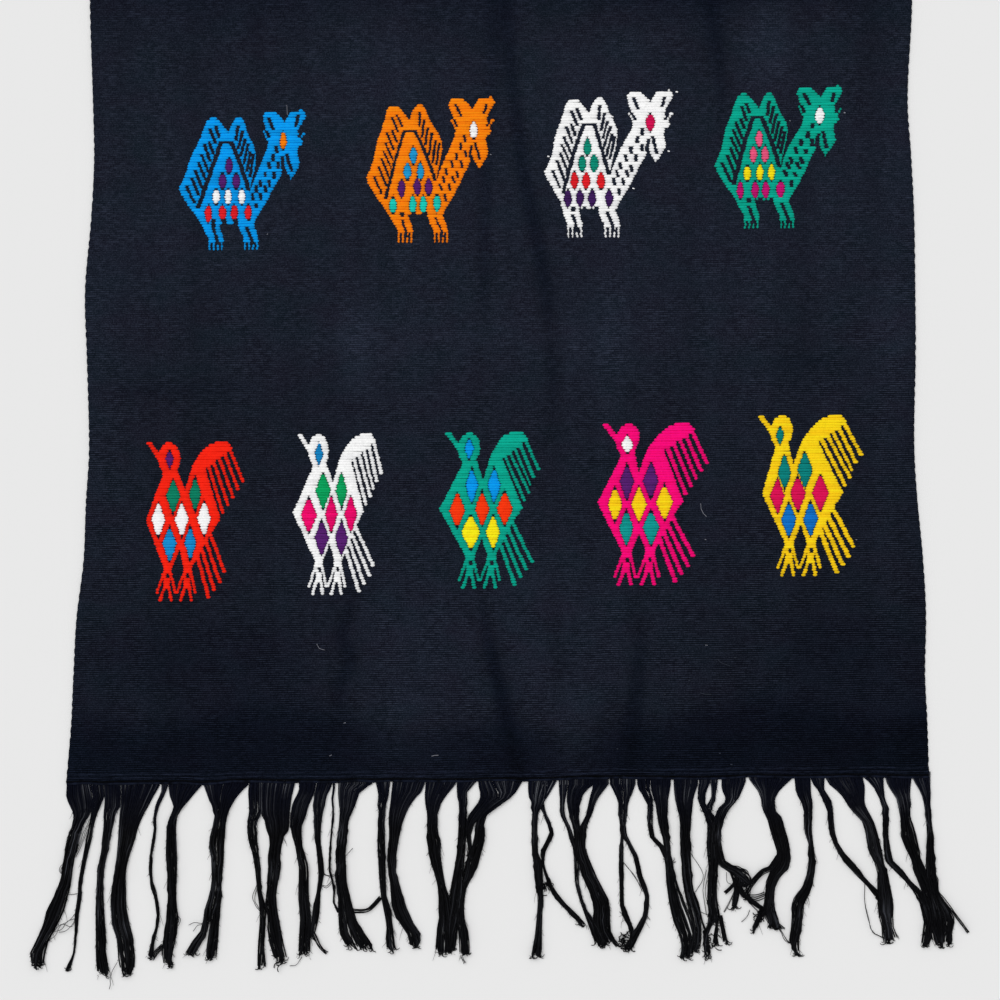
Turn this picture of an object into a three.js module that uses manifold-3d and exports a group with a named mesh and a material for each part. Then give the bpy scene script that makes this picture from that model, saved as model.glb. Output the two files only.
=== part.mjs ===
// A hand-woven cotton table runner, lying flat: a near-black ground cloth with a row of winged
// beasts and a row of birds inlaid at one end, and a fringe of loose locks at each end.
// Millimetres, +Z up. The origin is under the middle of the cloth, on the surface it lies on.
// The inlaid end points to -Y, and "up" is the distance from that end's hem towards +Y.
import * as THREE from "three";
import { mergeVertices } from "three/addons/utils/BufferGeometryUtils.js";
import Module from "manifold-3d";

const wasm = await Module();
wasm.setup();

// Driving dimensions
const CLOTH_LENGTH = 1400;
const CLOTH_THICK = 1.2;
const HEM_RISE = 3.8; // how much the inlaid end's hem climbs from the left selvedge to the right
const FAR_HEM_RISE = -1.5;
const HEM_WIDTH = 410;
const PIECE_GAP = 0.3;
const INLAY_THICK = 0.5;
const STRIP_DEPTH = 3; // the narrow strip that the roots of a fringe are fused into
const ROOT_OVERLAP = 1; // how far a root reaches into its strip

// Colours of the dyed cotton, from the photograph
const INK = 0x171d27;
const FRINGE_BLACK = 0x131315;
const ORANGE = 0xf08018;
const WHITE = 0xf2f2f0;
const GREEN = 0x0f9a73;
const BLUE = 0x1c8fe4;
const RED = 0xf03416;
const PINK = 0xf01474;
const YELLOW = 0xf8c516;

// Ground cloth: where its selvedges lie and where it is raised

// The selvedges' places across, at rows up from the inlaid end's hem.
const SELVEDGE = [
  { up: 0, left: -205.9, right: 204.9 },
  { up: 28, left: -203.5, right: 204.0 },
  { up: 49, left: -202.5, right: 203.0 },
  { up: 79, left: -200.9, right: 203.4 },
  { up: 107, left: -197.5, right: 201.8 },
  { up: 134, left: -196.4, right: 199.2 },
  { up: 160, left: -194.9, right: 197.8 },
  { up: 202, left: -195.9, right: 198.5 },
  { up: 235, left: -196.8, right: 198.3 },
  { up: 268, left: -194.0, right: 197.8 },
  { up: 296, left: -192.5, right: 196.4 },
  { up: 324, left: -193.0, right: 194.7 },
  { up: 372, left: -194.5, right: 196.8 },
  { up: 520, left: -196.5, right: 195.5 },
  { up: 760, left: -195.0, right: 197.5 },
  { up: 1040, left: -197.5, right: 196.0 },
  { up: 1260, left: -198.5, right: 199.5 },
  { up: 1400, left: -201.0, right: 202.0 },
];

// The soft lengthways fold near the middle: its place across and how high it stands.
const FOLD = [
  { up: 0, across: 10.5, high: 0.4 },
  { up: 40, across: 2, high: 1.4 },
  { up: 70, across: -5, high: 1.0 },
  { up: 91, across: -8.5, high: 0 },
  { up: 168, across: 26, high: 0 },
  { up: 200, across: 26, high: 0.5 },
  { up: 238, across: 22, high: 0.8 },
  { up: 290, across: 11.5, high: 0.8 },
  { up: 330, across: 5, high: 0.9 },
  { up: 372, across: -5.5, high: 1.4 },
  { up: 450, across: -8, high: 0.8 },
  { up: 540, across: -6, high: 0 },
  { up: 1400, across: 0, high: 0 },
];
const FOLD_SPREAD = 3.2;

// Broad low swells where the cloth doesn't lie quite flat.
const SWELLS = [
  { across: -73, up: 55, wide: 18, long: 22, high: 0.5 },
  { across: 67, up: 50, wide: 18, long: 24, high: 0.5 },
  { across: -120, up: 212, wide: 60, long: 16, high: 0.5 },
  { across: 110, up: 212, wide: 60, long: 16, high: 0.6 },
  { across: 102, up: 385, wide: 20, long: 26, high: 0.7 },
  { across: 158, up: 390, wide: 18, long: 30, high: 0.7 },
];

const VISIBLE_UP = 372;
const VISIBLE_STEPS = 18;
const PLAIN_STEPS = 10;
const SIDE_COLUMNS = 7;
const FOLD_COLUMNS = [-12, -6, -3, 0, 3, 6, 12];

function rowBelow(rows, up) {
  let i = 0;
  while (i < rows.length - 2 && rows[i + 1].up < up) i += 1;
  return i;
}

// One column of a table at a place up the cloth, on a smooth curve through its rows.
function along(rows, up, column) {
  const i = rowBelow(rows, up);
  const slope = (k) => {
    const before = rows[Math.max(k - 1, 0)];
    const after = rows[Math.min(k + 1, rows.length - 1)];
    return (after[column] - before[column]) / (after.up - before.up);
  };
  const step = rows[i + 1].up - rows[i].up;
  const t = (up - rows[i].up) / step;
  const ease = t * t * (3 - 2 * t);
  const start = (t * t * t - 2 * t * t + t) * step * slope(i);
  const finish = (t * t * t - t * t) * step * slope(i + 1);
  return rows[i][column] * (1 - ease) + rows[i + 1][column] * ease + start + finish;
}

// The same, levelling off at each row, so that it never passes the values of the rows.
function levelled(rows, up, column) {
  const i = rowBelow(rows, up);
  const t = (up - rows[i].up) / (rows[i + 1].up - rows[i].up);
  return rows[i][column] + (rows[i + 1][column] - rows[i][column]) * t * t * (3 - 2 * t);
}

// The height of the cloth's underside: none where it lies flat.
function relief(across, up) {
  const offFold = (across - along(FOLD, up, "across")) / FOLD_SPREAD;
  let height = levelled(FOLD, up, "high") * Math.exp(-offFold * offFold);
  for (const swell of SWELLS) {
    const dx = (across - swell.across) / swell.wide;
    const dy = (up - swell.up) / swell.long;
    height += swell.high * Math.exp(-dx * dx - dy * dy);
  }
  return height < 0.04 ? 0 : height;
}

// The hems are straight and slightly slanted.
function nearHem(across) {
  return -CLOTH_LENGTH / 2 + (HEM_RISE * across) / HEM_WIDTH;
}

function farHem(across) {
  return CLOTH_LENGTH / 2 + (FAR_HEM_RISE * across) / HEM_WIDTH;
}

function clothRows() {
  const rows = [];
  for (let i = 0; i <= VISIBLE_STEPS; i += 1) rows.push((VISIBLE_UP * i) / VISIBLE_STEPS);
  for (let i = 1; i <= PLAIN_STEPS; i += 1) {
    const share = (i / PLAIN_STEPS) ** 1.3;
    rows.push(VISIBLE_UP + (CLOTH_LENGTH - VISIBLE_UP) * share);
  }
  return rows;
}

function clothColumns(up) {
  const left = along(SELVEDGE, up, "left");
  const right = along(SELVEDGE, up, "right");
  const fold = along(FOLD, up, "across");
  const columns = FOLD_COLUMNS.map((offset) => fold + offset);
  const first = columns[0];
  const last = columns[columns.length - 1];
  for (let i = 1; i <= SIDE_COLUMNS; i += 1) {
    columns.unshift(first + ((left - first) * i) / SIDE_COLUMNS);
    columns.push(last + ((right - last) * i) / SIDE_COLUMNS);
  }
  return columns;
}

// A closed sheet from a grid of points on its underside.
function sheetGeometry(grid, thick) {
  const rows = grid.length;
  const columns = grid[0].length;
  const positions = [];
  for (const lift of [0, thick]) {
    for (const row of grid) for (const p of row) positions.push(p.x, p.y, p.z + lift);
  }
  const top = rows * columns;
  const at = (r, c) => r * columns + c;
  const index = [];
  const quad = (a, b, c, d) => index.push(a, b, c, a, c, d);
  for (let r = 0; r < rows - 1; r += 1) {
    for (let c = 0; c < columns - 1; c += 1) {
      const corners = [at(r, c), at(r, c + 1), at(r + 1, c + 1), at(r + 1, c)];
      quad(...corners.map((k) => k + top));
      quad(...corners.reverse());
    }
  }
  const wall = (a, b) => quad(a, b, b + top, a + top);
  for (let c = 0; c < columns - 1; c += 1) {
    wall(at(0, c), at(0, c + 1));
    wall(at(rows - 1, c + 1), at(rows - 1, c));
  }
  for (let r = 0; r < rows - 1; r += 1) {
    wall(at(r, columns - 1), at(r + 1, columns - 1));
    wall(at(r + 1, 0), at(r, 0));
  }
  const geometry = new THREE.BufferGeometry();
  geometry.setAttribute("position", new THREE.Float32BufferAttribute(positions, 3));
  geometry.setIndex(index);
  return geometry;
}

function clothGeometry() {
  const grid = clothRows().map((up) =>
    clothColumns(up).map((across) => {
      const share = up / CLOTH_LENGTH;
      const y = nearHem(across) * (1 - share) + farHem(across) * share;
      return new THREE.Vector3(across, y, relief(across, up));
    }),
  );
  return sheetGeometry(grid, CLOTH_THICK);
}

// Joining and cutting of closed meshes

function solidFrom(geometry) {
  const bare = geometry.clone();
  bare.deleteAttribute("normal");
  bare.deleteAttribute("uv");
  const merged = mergeVertices(bare, 1e-4);
  const mesh = new wasm.Mesh({
    numProp: 3,
    vertProperties: new Float32Array(merged.attributes.position.array),
    triVerts: new Uint32Array(merged.index.array),
  });
  return new wasm.Manifold(mesh);
}

function geometryFrom(solid) {
  const mesh = solid.getMesh();
  const geometry = new THREE.BufferGeometry();
  geometry.setAttribute("position", new THREE.BufferAttribute(new Float32Array(mesh.vertProperties), 3));
  geometry.setIndex(new THREE.BufferAttribute(new Uint32Array(mesh.triVerts), 1));
  const flat = geometry.toNonIndexed();
  flat.computeVertexNormals();
  return flat;
}

function joined(solids) {
  return solids.reduce((whole, next) => whole.add(next));
}

// Fringe: locks of loose warp, each with a funnel-shaped root, lying on the surface

// The locks of the inlaid end, from left to right. "at" and "span" are the middle and the width
// of a lock's root along the hem; "fifths" are its sideways shifts from there at each fifth of
// its length; "wide" and "end" are its widths at mid-length and at its tip.
const LOCKS = [
  { at: -199.0, span: 13.8, fifths: [-1.7, -4.5, -10.0, -15.5, -20.7], long: 87.6, wide: 6.5, end: 8.0 },
  { at: -189.7, span: 3.8, fifths: [-3.0, -6.6, -9.5, -11.9, -14.8], long: 90.4, wide: 2.4, end: 2.0 },
  { at: -183.5, span: 8.6, fifths: [-1.9, -4.8, -6.4, -5.2, -4.3], long: 93.8, wide: 4.5, end: 6.0 },
  { at: -169.7, span: 19.0, fifths: [-5.2, -8.8, -11.2, -9.5, -5.2], long: 91.4, wide: 6.0, end: 8.0 },
  { at: -158.0, span: 2.4, fifths: [-5.2, -7.4, -6.2, -4.3, -7.9], long: 84.7, wide: 1.9, end: 1.7 },
  { at: -149.0, span: 15.7, fifths: [-5.7, -6.4, -6.2, -6.4, -8.8], long: 88.0, wide: 5.0, end: 5.0 },
  { at: -129.7, span: 21.0, fifths: [-2.4, -4.3, -4.5, -8.6, -12.9], long: 82.8, wide: 6.7, end: 12.0 },
  { at: -115.7, span: 7.1, fifths: [-1.2, 0.0, 2.6, 3.1, 2.1], long: 88.0, wide: 3.8, end: 3.4 },
  { at: -104.0, span: 16.2, fifths: [-1.2, -3.3, -4.3, -2.4, 0.5], long: 84.7, wide: 5.2, end: 7.0 },
  { at: -90.9, span: 9.0, fifths: [-4.5, -3.1, -1.7, -1.9, -3.2], long: 81.4, wide: 5.0, end: 4.6 },
  { at: -82.6, span: 6.7, fifths: [-2.9, -2.9, -2.9, -4.4, -6.2], long: 81.4, wide: 3.2, end: 2.8 },
  { at: -78.5, span: 1.5, fifths: [0.0, -0.8, -1.5, 0.0, 2.1], long: 63.8, wide: 1.3, end: 1.2 },
  { at: -68.3, span: 16.2, fifths: [-5.0, -5.8, -5.6, -3.1, 2.4], long: 81.0, wide: 6.0, end: 11.0 },
  { at: -54.7, span: 7.1, fifths: [-0.7, -0.7, -0.7, 2.4, 4.0], long: 81.4, wide: 4.0, end: 4.0 },
  { at: -43.1, span: 16.2, fifths: [-4.6, -6.4, -6.9, -4.5, 3.8], long: 76.2, wide: 5.0, end: 5.6 },
  { at: -27.4, span: 15.2, fifths: [-5.2, -3.1, -0.9, -0.6, -2.6], long: 81.0, wide: 4.3, end: 5.4 },
  { at: -15.2, span: 9.5, fifths: [-1.7, -2.4, -5.2, -7.2, -7.2], long: 79.5, wide: 3.6, end: 3.6 },
  { at: 0.5, span: 21.4, fifths: [-7.4, -9.8, -15.4, -17.0, -16.4], long: 82.8, wide: 5.0, end: 5.2 },
  { at: 16.9, span: 6.7, fifths: [0.5, 0.7, 1.6, 2.0, 1.0], long: 84.7, wide: 3.8, end: 4.0 },
  { at: 24.3, span: 7.1, fifths: [-2.6, -0.9, -1.4, 2.5, 11.6], long: 65.2, wide: 1.9, end: 1.8 },
  { at: 30.6, span: 3.8, fifths: [-0.3, 1.7, 4.4, 7.2, 12.0], long: 66.6, wide: 1.5, end: 1.6 },
  { at: 42.6, span: 19.0, fifths: [-4.4, -4.3, 0.5, 6.7, 8.1], long: 78.0, wide: 5.2, end: 8.0 },
  { at: 56.2, span: 6.2, fifths: [1.5, 1.7, 2.1, 3.6, 4.4], long: 81.0, wide: 2.4, end: 2.6 },
  { at: 62.6, span: 5.7, fifths: [-0.7, 0.8, 5.0, 6.9, 3.6], long: 81.4, wide: 2.4, end: 2.6 },
  { at: 73.8, span: 16.2, fifths: [3.6, 6.0, 7.8, 11.0, 12.6], long: 83.8, wide: 5.0, end: 5.4 },
  { at: 89.0, span: 12.9, fifths: [-0.2, -0.2, 1.2, 3.8, 4.2], long: 82.8, wide: 5.0, end: 5.2 },
  { at: 100.8, span: 10.5, fifths: [-0.4, 0.6, 0.4, 1.4, 3.2], long: 78.0, wide: 5.6, end: 7.4 },
  { at: 112.6, span: 12.8, fifths: [-1.4, -4.1, -3.0, 3.6, 8.2], long: 59.0, wide: 3.8, end: 4.4 },
  { at: 129.2, span: 20.6, fifths: [1.0, 5.5, 5.0, 0.6, 1.4], long: 70.4, wide: 6.0, end: 7.0 },
  { at: 144.5, span: 7.6, fifths: [2.2, 4.4, 3.8, -2.0, -3.8], long: 78.0, wide: 4.4, end: 5.0 },
  { at: 152.2, span: 7.1, fifths: [3.4, 5.4, 7.8, 13.4, 21.0], long: 47.1, wide: 2.6, end: 2.2 },
  { at: 164.9, span: 18.0, fifths: [9.6, 14.0, 18.2, 19.4, 21.0], long: 77.6, wide: 6.6, end: 7.0 },
  { at: 178.5, span: 8.6, fifths: [6.0, 7.6, 13.2, 19.2, 21.6], long: 74.7, wide: 3.6, end: 3.6 },
  { at: 189.9, span: 12.5, fifths: [3.3, 6.7, 11.6, 16.9, 22.1], long: 77.6, wide: 5.0, end: 6.6 },
  { at: 200.9, span: 7.6, fifths: [3.1, 4.6, 6.8, 11.6, 19.0], long: 71.4, wide: 3.4, end: 4.0 },
];

const FAR_LOCKS = 34;
const FAR_LENGTH = 84;
const FAR_REACH = 196;
const GOLDEN_ANGLE = 2.39996;

// The far end's locks aren't shown in the photograph, so they are plain: even roots with a
// gentle sway that differs from lock to lock.
function plainLocks() {
  const pitch = (2 * FAR_REACH) / (FAR_LOCKS - 1);
  return Array.from({ length: FAR_LOCKS }, (_, i) => {
    const turn = i * GOLDEN_ANGLE;
    const lean = 4 * Math.sin((i / FAR_LOCKS) * 5);
    const sway = 1.5 * Math.sin(turn);
    return {
      at: -FAR_REACH + i * pitch,
      span: pitch,
      fifths: [sway, sway + lean / 4, lean / 2 - sway / 2, lean - sway, lean],
      long: FAR_LENGTH + 6 * Math.cos(turn * 1.7),
      wide: 5 + 0.8 * Math.cos(turn),
      end: 5.6 + 0.8 * Math.sin(turn * 1.3),
    };
  });
}

const LOCK_STATIONS = [0, 0.07, 0.17, 0.32, 0.48, 0.64, 0.8, 0.92, 1];
const PLAIN_STATIONS = [0, 0.08, 0.2, 0.45, 0.72, 1];
const NECK = 0.2; // the share of a lock's length at which its funnel has narrowed fully
const CREST_SHARE = 0.55; // a lock's width at its crest, over its width on the surface
const ROOT_HIGH = 1.2;
const LOCK_HIGH_SHARE = 0.5;
const TIP_HIGH_SHARE = 0.6;

// A lock's sideways shift at a share of its length, eased through its fifths.
function shiftAt(lock, share) {
  const rows = [0, ...lock.fifths].map((shift, i) => ({ up: i / 5, shift }));
  return along(rows, share, "shift");
}

function widthAt(lock, share) {
  if (share < NECK) {
    const drop = (1 - share / NECK) ** 1.8;
    return lock.wide + (lock.span - PIECE_GAP * 2 - lock.wide) * drop;
  }
  const spread = Math.max(0, (share - 0.55) / 0.45);
  return lock.wide + (lock.end - lock.wide) * spread * spread;
}

function heightAt(lock, share) {
  const body = Math.max(ROOT_HIGH, lock.wide * LOCK_HIGH_SHARE);
  const rise = Math.min(1, share / NECK);
  const fall = Math.max(0, (share - 0.75) / 0.25);
  return (ROOT_HIGH + (body - ROOT_HIGH) * rise) * (1 - (1 - TIP_HIGH_SHARE) * fall);
}

// One lock as a tube of four sides, flat where it lies. "out" is -1 at the inlaid end.
function lockSolid(lock, hem, out, stations) {
  const places = stations.map((share) => ({
    share,
    x: lock.at + shiftAt(lock, share),
    y: hem(lock.at) + out * (PIECE_GAP + STRIP_DEPTH - ROOT_OVERLAP + lock.long * share),
  }));
  const positions = [];
  places.forEach((place, i) => {
    const before = places[Math.max(i - 1, 0)];
    const after = places[Math.min(i + 1, places.length - 1)];
    const run = new THREE.Vector2(after.x - before.x, after.y - before.y).normalize();
    if (i === 0) run.set(0, out);
    const side = new THREE.Vector2(-run.y, run.x).multiplyScalar(-out);
    const half = widthAt(lock, place.share) / 2;
    const high = heightAt(lock, place.share);
    const corners = [
      { across: -half, z: 0 },
      { across: half, z: 0 },
      { across: half * CREST_SHARE, z: high },
      { across: -half * CREST_SHARE, z: high },
    ];
    for (const corner of corners) {
      positions.push(place.x + side.x * corner.across, place.y + side.y * corner.across, corner.z);
    }
  });
  const index = [];
  const turned = out < 0;
  const triangle = (a, b, c) => index.push(...(turned ? [a, c, b] : [a, b, c]));
  for (let i = 0; i < places.length - 1; i += 1) {
    for (let k = 0; k < 4; k += 1) {
      const a = i * 4 + k;
      const b = i * 4 + ((k + 1) % 4);
      triangle(a, a + 4, b);
      triangle(b, a + 4, b + 4);
    }
  }
  const last = (places.length - 1) * 4;
  triangle(0, 1, 2);
  triangle(0, 2, 3);
  triangle(last, last + 2, last + 1);
  triangle(last, last + 3, last + 2);
  const geometry = new THREE.BufferGeometry();
  geometry.setAttribute("position", new THREE.Float32BufferAttribute(positions, 3));
  geometry.setIndex(index);
  return solidFrom(geometry);
}

// The strip that holds the roots, a little off the cloth's hem.
function stripSolid(locks, hem, out) {
  const first = locks[0];
  const last = locks[locks.length - 1];
  const left = first.at - first.span / 2;
  const right = last.at + last.span / 2;
  const inner = (x) => hem(x) + out * PIECE_GAP;
  const outer = (x) => hem(x) + out * (PIECE_GAP + STRIP_DEPTH);
  const outline = new THREE.Shape([
    new THREE.Vector2(left, inner(left)),
    new THREE.Vector2(right, inner(right)),
    new THREE.Vector2(right, outer(right)),
    new THREE.Vector2(left, outer(left)),
  ]);
  return solidFrom(new THREE.ExtrudeGeometry(outline, { depth: CLOTH_THICK, bevelEnabled: false }));
}

function fringeGeometry(locks, hem, out, stations) {
  const solids = locks.map((lock) => lockSolid(lock, hem, out, stations));
  return geometryFrom(joined([stripSolid(locks, hem, out), ...solids]));
}

// Inlaid figures: thin layers of soft yarn, charted on a unit square, u across and v down

const FIGURES = [
  { name: "blue_beast", kind: "beast", left: -152.1, foot: 253.7, wide: 61.4, tall: 66.6, colour: BLUE },
  { name: "orange_beast", kind: "beast", left: -63.1, foot: 256.6, wide: 62.8, tall: 69.5, colour: ORANGE },
  { name: "white_beast", kind: "beast", left: 21.7, foot: 258.5, wide: 64.3, tall: 70.4, colour: WHITE },
  { name: "green_beast", kind: "beast", left: 102.6, foot: 262.3, wide: 61.9, tall: 68.1, colour: GREEN },
  { name: "red_bird", kind: "bird", left: -167.8, foot: 87.1, wide: 47.6, tall: 75.7, colour: RED },
  { name: "white_bird", kind: "bird", left: -98.3, foot: 89.5, wide: 43.8, tall: 76.6, colour: WHITE },
  { name: "green_bird", kind: "bird", left: -28.8, foot: 91.9, wide: 49.5, tall: 74.3, colour: GREEN },
  { name: "pink_bird", kind: "bird", left: 46.4, foot: 92.8, wide: 54.3, tall: 77.1, colour: PINK },
  { name: "yellow_bird", kind: "bird", left: 123.0, foot: 96.6, wide: 50.9, tall: 76.6, colour: YELLOW },
];

// Where the parts of a figure lie on its chart.
const PART_PLACES = {
  bird: {
    head: [0.2, 0.08],
    breast: [0, 0.487],
    vee: [0.394, 0.3],
    back: [0.75, 0.47],
    crest: [0.77, 0],
    tip: [0.98, 0.26],
    tail: [0.72, 0.9],
    feet: [0.32, 0.92],
  },
  beast: {
    rump: [0, 0.5525],
    peaks: [0.38, 0.1],
    tent: [0.367, 0.24],
    notch: [0.57, 0.48],
    head: [0.82, 0.2],
    chest: [0.658, 0.693],
    feet: [0.42, 0.95],
  },
};

// No two figures were laid in alike: how far the parts of each one lie right of the chart.
const DRIFTS = {
  orange_beast: { peaks: -0.06, tent: -0.035, notch: -0.02, head: -0.01, feet: 0.01 },
  white_beast: { peaks: -0.055, tent: -0.035, notch: -0.068, head: -0.032, chest: -0.05, feet: -0.06 },
  green_beast: { peaks: -0.045, tent: -0.035, notch: -0.045, chest: -0.01 },
  white_bird: { head: 0.055, breast: 0.01, vee: 0.055, back: 0.035, crest: 0.05, tail: 0.1, feet: 0.08 },
  green_bird: { head: 0.065, breast: 0.01, vee: 0.04, back: 0.065, tail: 0.11, feet: 0.095 },
  pink_bird: { head: 0.05, breast: 0.01, vee: -0.02, back: 0.015, tail: 0.065, feet: 0.052 },
  yellow_bird: { breast: 0.045, vee: -0.055, back: 0.055, crest: -0.03, tail: 0.115, feet: 0.085 },
};

// The drift at a place on the chart: each part's own, shared out by nearness.
function driftAt(figure, u, v) {
  const drifts = DRIFTS[figure.name] ?? {};
  let total = 0;
  let weights = 0;
  for (const [part, [pu, pv]] of Object.entries(PART_PLACES[figure.kind])) {
    const weight = 1 / ((u - pu) ** 2 + (v - pv) ** 2 + 1e-4) ** 2;
    total += weight * (drifts[part] ?? 0);
    weights += weight;
  }
  return total / weights;
}

// A flat layer with the outline given on the chart of a figure.
function layer(figure, chart) {
  const y0 = -CLOTH_LENGTH / 2 + figure.foot + figure.tall;
  const place = ([u, v]) => {
    const x = figure.left + (u + driftAt(figure, u, v)) * figure.wide;
    return new THREE.Vector2(x, y0 - v * figure.tall);
  };
  const outline = new THREE.Shape(chart.map(place));
  const extruded = new THREE.ExtrudeGeometry(outline, { depth: INLAY_THICK, bevelEnabled: false });
  return solidFrom(extruded.translate(0, 0, CLOTH_THICK + PIECE_GAP));
}

// A slanted bar of rows from one point of the chart to another, cut off level at both ends.
function bar(figure, [u0, v0], [u1, v1], width) {
  const half = width / 2;
  return layer(figure, [
    [u0 - half, v0],
    [u0 + half, v0],
    [u1 + half, v1],
    [u1 - half, v1],
  ]);
}

function oval(figure, u, v, halfU, halfV) {
  const corners = 12;
  const chart = Array.from({ length: corners }, (_, i) => {
    const angle = (i / corners) * Math.PI * 2;
    return [u + halfU * Math.cos(angle), v + halfV * Math.sin(angle)];
  });
  return layer(figure, chart);
}

// A bird with its head turned back, a raised comb-like wing and a combed tail.
function bird(figure) {
  const feather = 0.05;
  const toe = 0.045;
  const solids = [
    bar(figure, [0.03, 0.0], [0.16, 0.12], 0.07),
    oval(figure, 0.236, 0.105, 0.115, 0.104),
    layer(figure, [
      [0.17, 0.16],
      [0.31, 0.16],
      [0.394, 0.3],
      [0.46, 0.156],
      [0.533, 0.08],
      [0.618, 0.027],
      [0.715, 0.0],
      [0.82, 0.003],
      [0.87, 0.045],
      [0.6, 0.17],
      [0.75, 0.483],
      [0.667, 0.567],
      [0.46, 0.79],
      [0.38, 0.79],
      [0.34, 0.68],
      [0.26, 0.79],
      [0.176, 0.79],
      [0.0, 0.487],
      [0.164, 0.217],
    ]),
  ];
  const wingRoots = 5;
  for (let i = 0; i < wingRoots; i += 1) {
    const step = i / (wingRoots - 1);
    const root = [0.62 + 0.215 * step, 0.14 - 0.1 * step];
    const tip = [0.775 + 0.2 * step, 0.449 - 0.195 * step];
    solids.push(bar(figure, root, tip, feather));
  }
  const tailRoots = 4;
  for (let i = 0; i < tailRoots; i += 1) {
    const step = i / (tailRoots - 1);
    const root = [0.5 + 0.13 * step, 0.68 - 0.13 * step];
    const tip = [0.636 + 0.157 * step, 0.99 - 0.16 * step];
    solids.push(bar(figure, root, tip, feather));
  }
  for (const ankle of [0.218, 0.42]) {
    solids.push(bar(figure, [ankle, 0.78], [ankle - 0.01, 0.93], 0.1));
    solids.push(bar(figure, [ankle - 0.03, 0.81], [ankle - 0.1, 0.94], toe));
    solids.push(bar(figure, [ankle + 0.03, 0.81], [ankle + 0.07, 0.94], toe));
    solids.push(bar(figure, [ankle - 0.035, 0.91], [ankle - 0.075, 1.0], toe));
    solids.push(bar(figure, [ankle + 0.01, 0.91], [ankle + 0.035, 1.0], toe));
  }
  return joined(solids);
}

// A beast with a pair of raised wings, a long neck, a horned head turned back and two legs.
function beast(figure) {
  const slit = 0.024;
  const toe = 0.021;
  const solids = [
    layer(figure, [
      [0.0, 0.5525],
      [0.084, 0.327],
      [0.135, 0.288],
      [0.19, 0.14],
      [0.224, 0.074],
      [0.3, 0.062],
      [0.354, 0.1],
      [0.384, 0.156],
      [0.41, 0.1],
      [0.464, 0.048],
      [0.527, 0.125],
      [0.582, 0.257],
      [0.603, 0.36],
      [0.545, 0.568],
      [0.62, 0.7],
      [0.591, 0.812],
      [0.16, 0.812],
      [0.11, 0.724],
    ]),
    layer(figure, [
      [0.545, 0.568],
      [0.624, 0.397],
      [0.692, 0.24],
      [0.8, 0.28],
      [0.806, 0.444],
      [0.658, 0.693],
      [0.591, 0.812],
      [0.5, 0.7],
    ]),
    layer(figure, [
      [0.692, 0.25],
      [0.68, 0.16],
      [0.654, 0.03],
      [0.768, 0.02],
      [0.819, 0.086],
      [0.865, 0.004],
      [0.966, 0.008],
      [0.99, 0.05],
      [0.93, 0.16],
      [0.966, 0.245],
      [0.916, 0.272],
      [0.937, 0.385],
      [0.872, 0.494],
      [0.8, 0.34],
    ]),
    bar(figure, [0.663, 0.15], [0.7, 0.23], 0.022),
    bar(figure, [0.975, 0.16], [0.93, 0.215], 0.03),
  ];
  for (const [hip, foot] of [
    [0.22, 0.278],
    [0.52, 0.565],
  ]) {
    solids.push(bar(figure, [hip, 0.8], [foot, 0.94], 0.13));
    for (const side of [-0.051, -0.017, 0.017, 0.051]) {
      solids.push(bar(figure, [foot + side, 0.93], [foot + side, 0.998], toe));
    }
  }
  const tent = [
    [0.15, 0.7],
    [0.262, 0.405],
    [0.329, 0.23],
    [0.405, 0.23],
    [0.473, 0.374],
    [0.545, 0.575],
  ];
  const cuts = [layer(figure, [[0.32, 0.222], [0.414, 0.222], [0.414, 0.24], [0.32, 0.24]])];
  for (let i = 0; i < tent.length - 1; i += 1) {
    if (i !== 2) cuts.push(bar(figure, tent[i], tent[i + 1], slit));
  }
  return joined(solids).subtract(joined(cuts));
}

const MAKERS = { beast, bird };

// The runner, put together

function addPiece(group, name, geometry, colour, roughness) {
  const material = new THREE.MeshStandardMaterial({ color: colour, roughness, metalness: 0 });
  const mesh = new THREE.Mesh(geometry, material);
  mesh.name = name;
  group.add(mesh);
}

const runner = new THREE.Group();
addPiece(runner, "ground_cloth", clothGeometry(), INK, 0.95);
addPiece(runner, "near_fringe", fringeGeometry(LOCKS, nearHem, -1, LOCK_STATIONS), FRINGE_BLACK, 0.9);
addPiece(runner, "far_fringe", fringeGeometry(plainLocks(), farHem, 1, PLAIN_STATIONS), FRINGE_BLACK, 0.9);
for (const figure of FIGURES) {
  addPiece(runner, figure.name, geometryFrom(MAKERS[figure.kind](figure)), figure.colour, 0.85);
}

export default runner;
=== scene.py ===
# A hand-woven cotton table runner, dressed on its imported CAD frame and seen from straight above.
# Blender works in metres, +Z up. The tables are in millimetres: "across" is X, and "up" is the
# distance from the inlaid end's hem towards +Y.
import math
import random

import bpy
import numpy as np
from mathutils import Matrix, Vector, noise


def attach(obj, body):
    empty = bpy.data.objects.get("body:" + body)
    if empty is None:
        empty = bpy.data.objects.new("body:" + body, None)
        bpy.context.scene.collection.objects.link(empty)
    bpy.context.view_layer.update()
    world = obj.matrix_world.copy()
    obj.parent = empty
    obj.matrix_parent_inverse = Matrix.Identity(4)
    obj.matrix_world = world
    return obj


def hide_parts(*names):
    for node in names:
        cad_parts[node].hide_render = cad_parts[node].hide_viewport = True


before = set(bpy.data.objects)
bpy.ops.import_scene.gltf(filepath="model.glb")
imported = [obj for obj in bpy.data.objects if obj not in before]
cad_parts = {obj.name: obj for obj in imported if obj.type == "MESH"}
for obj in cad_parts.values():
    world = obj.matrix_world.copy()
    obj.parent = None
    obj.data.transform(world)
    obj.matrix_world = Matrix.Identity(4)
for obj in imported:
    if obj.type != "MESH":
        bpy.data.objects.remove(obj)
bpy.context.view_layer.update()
scene = bpy.context.scene

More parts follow.
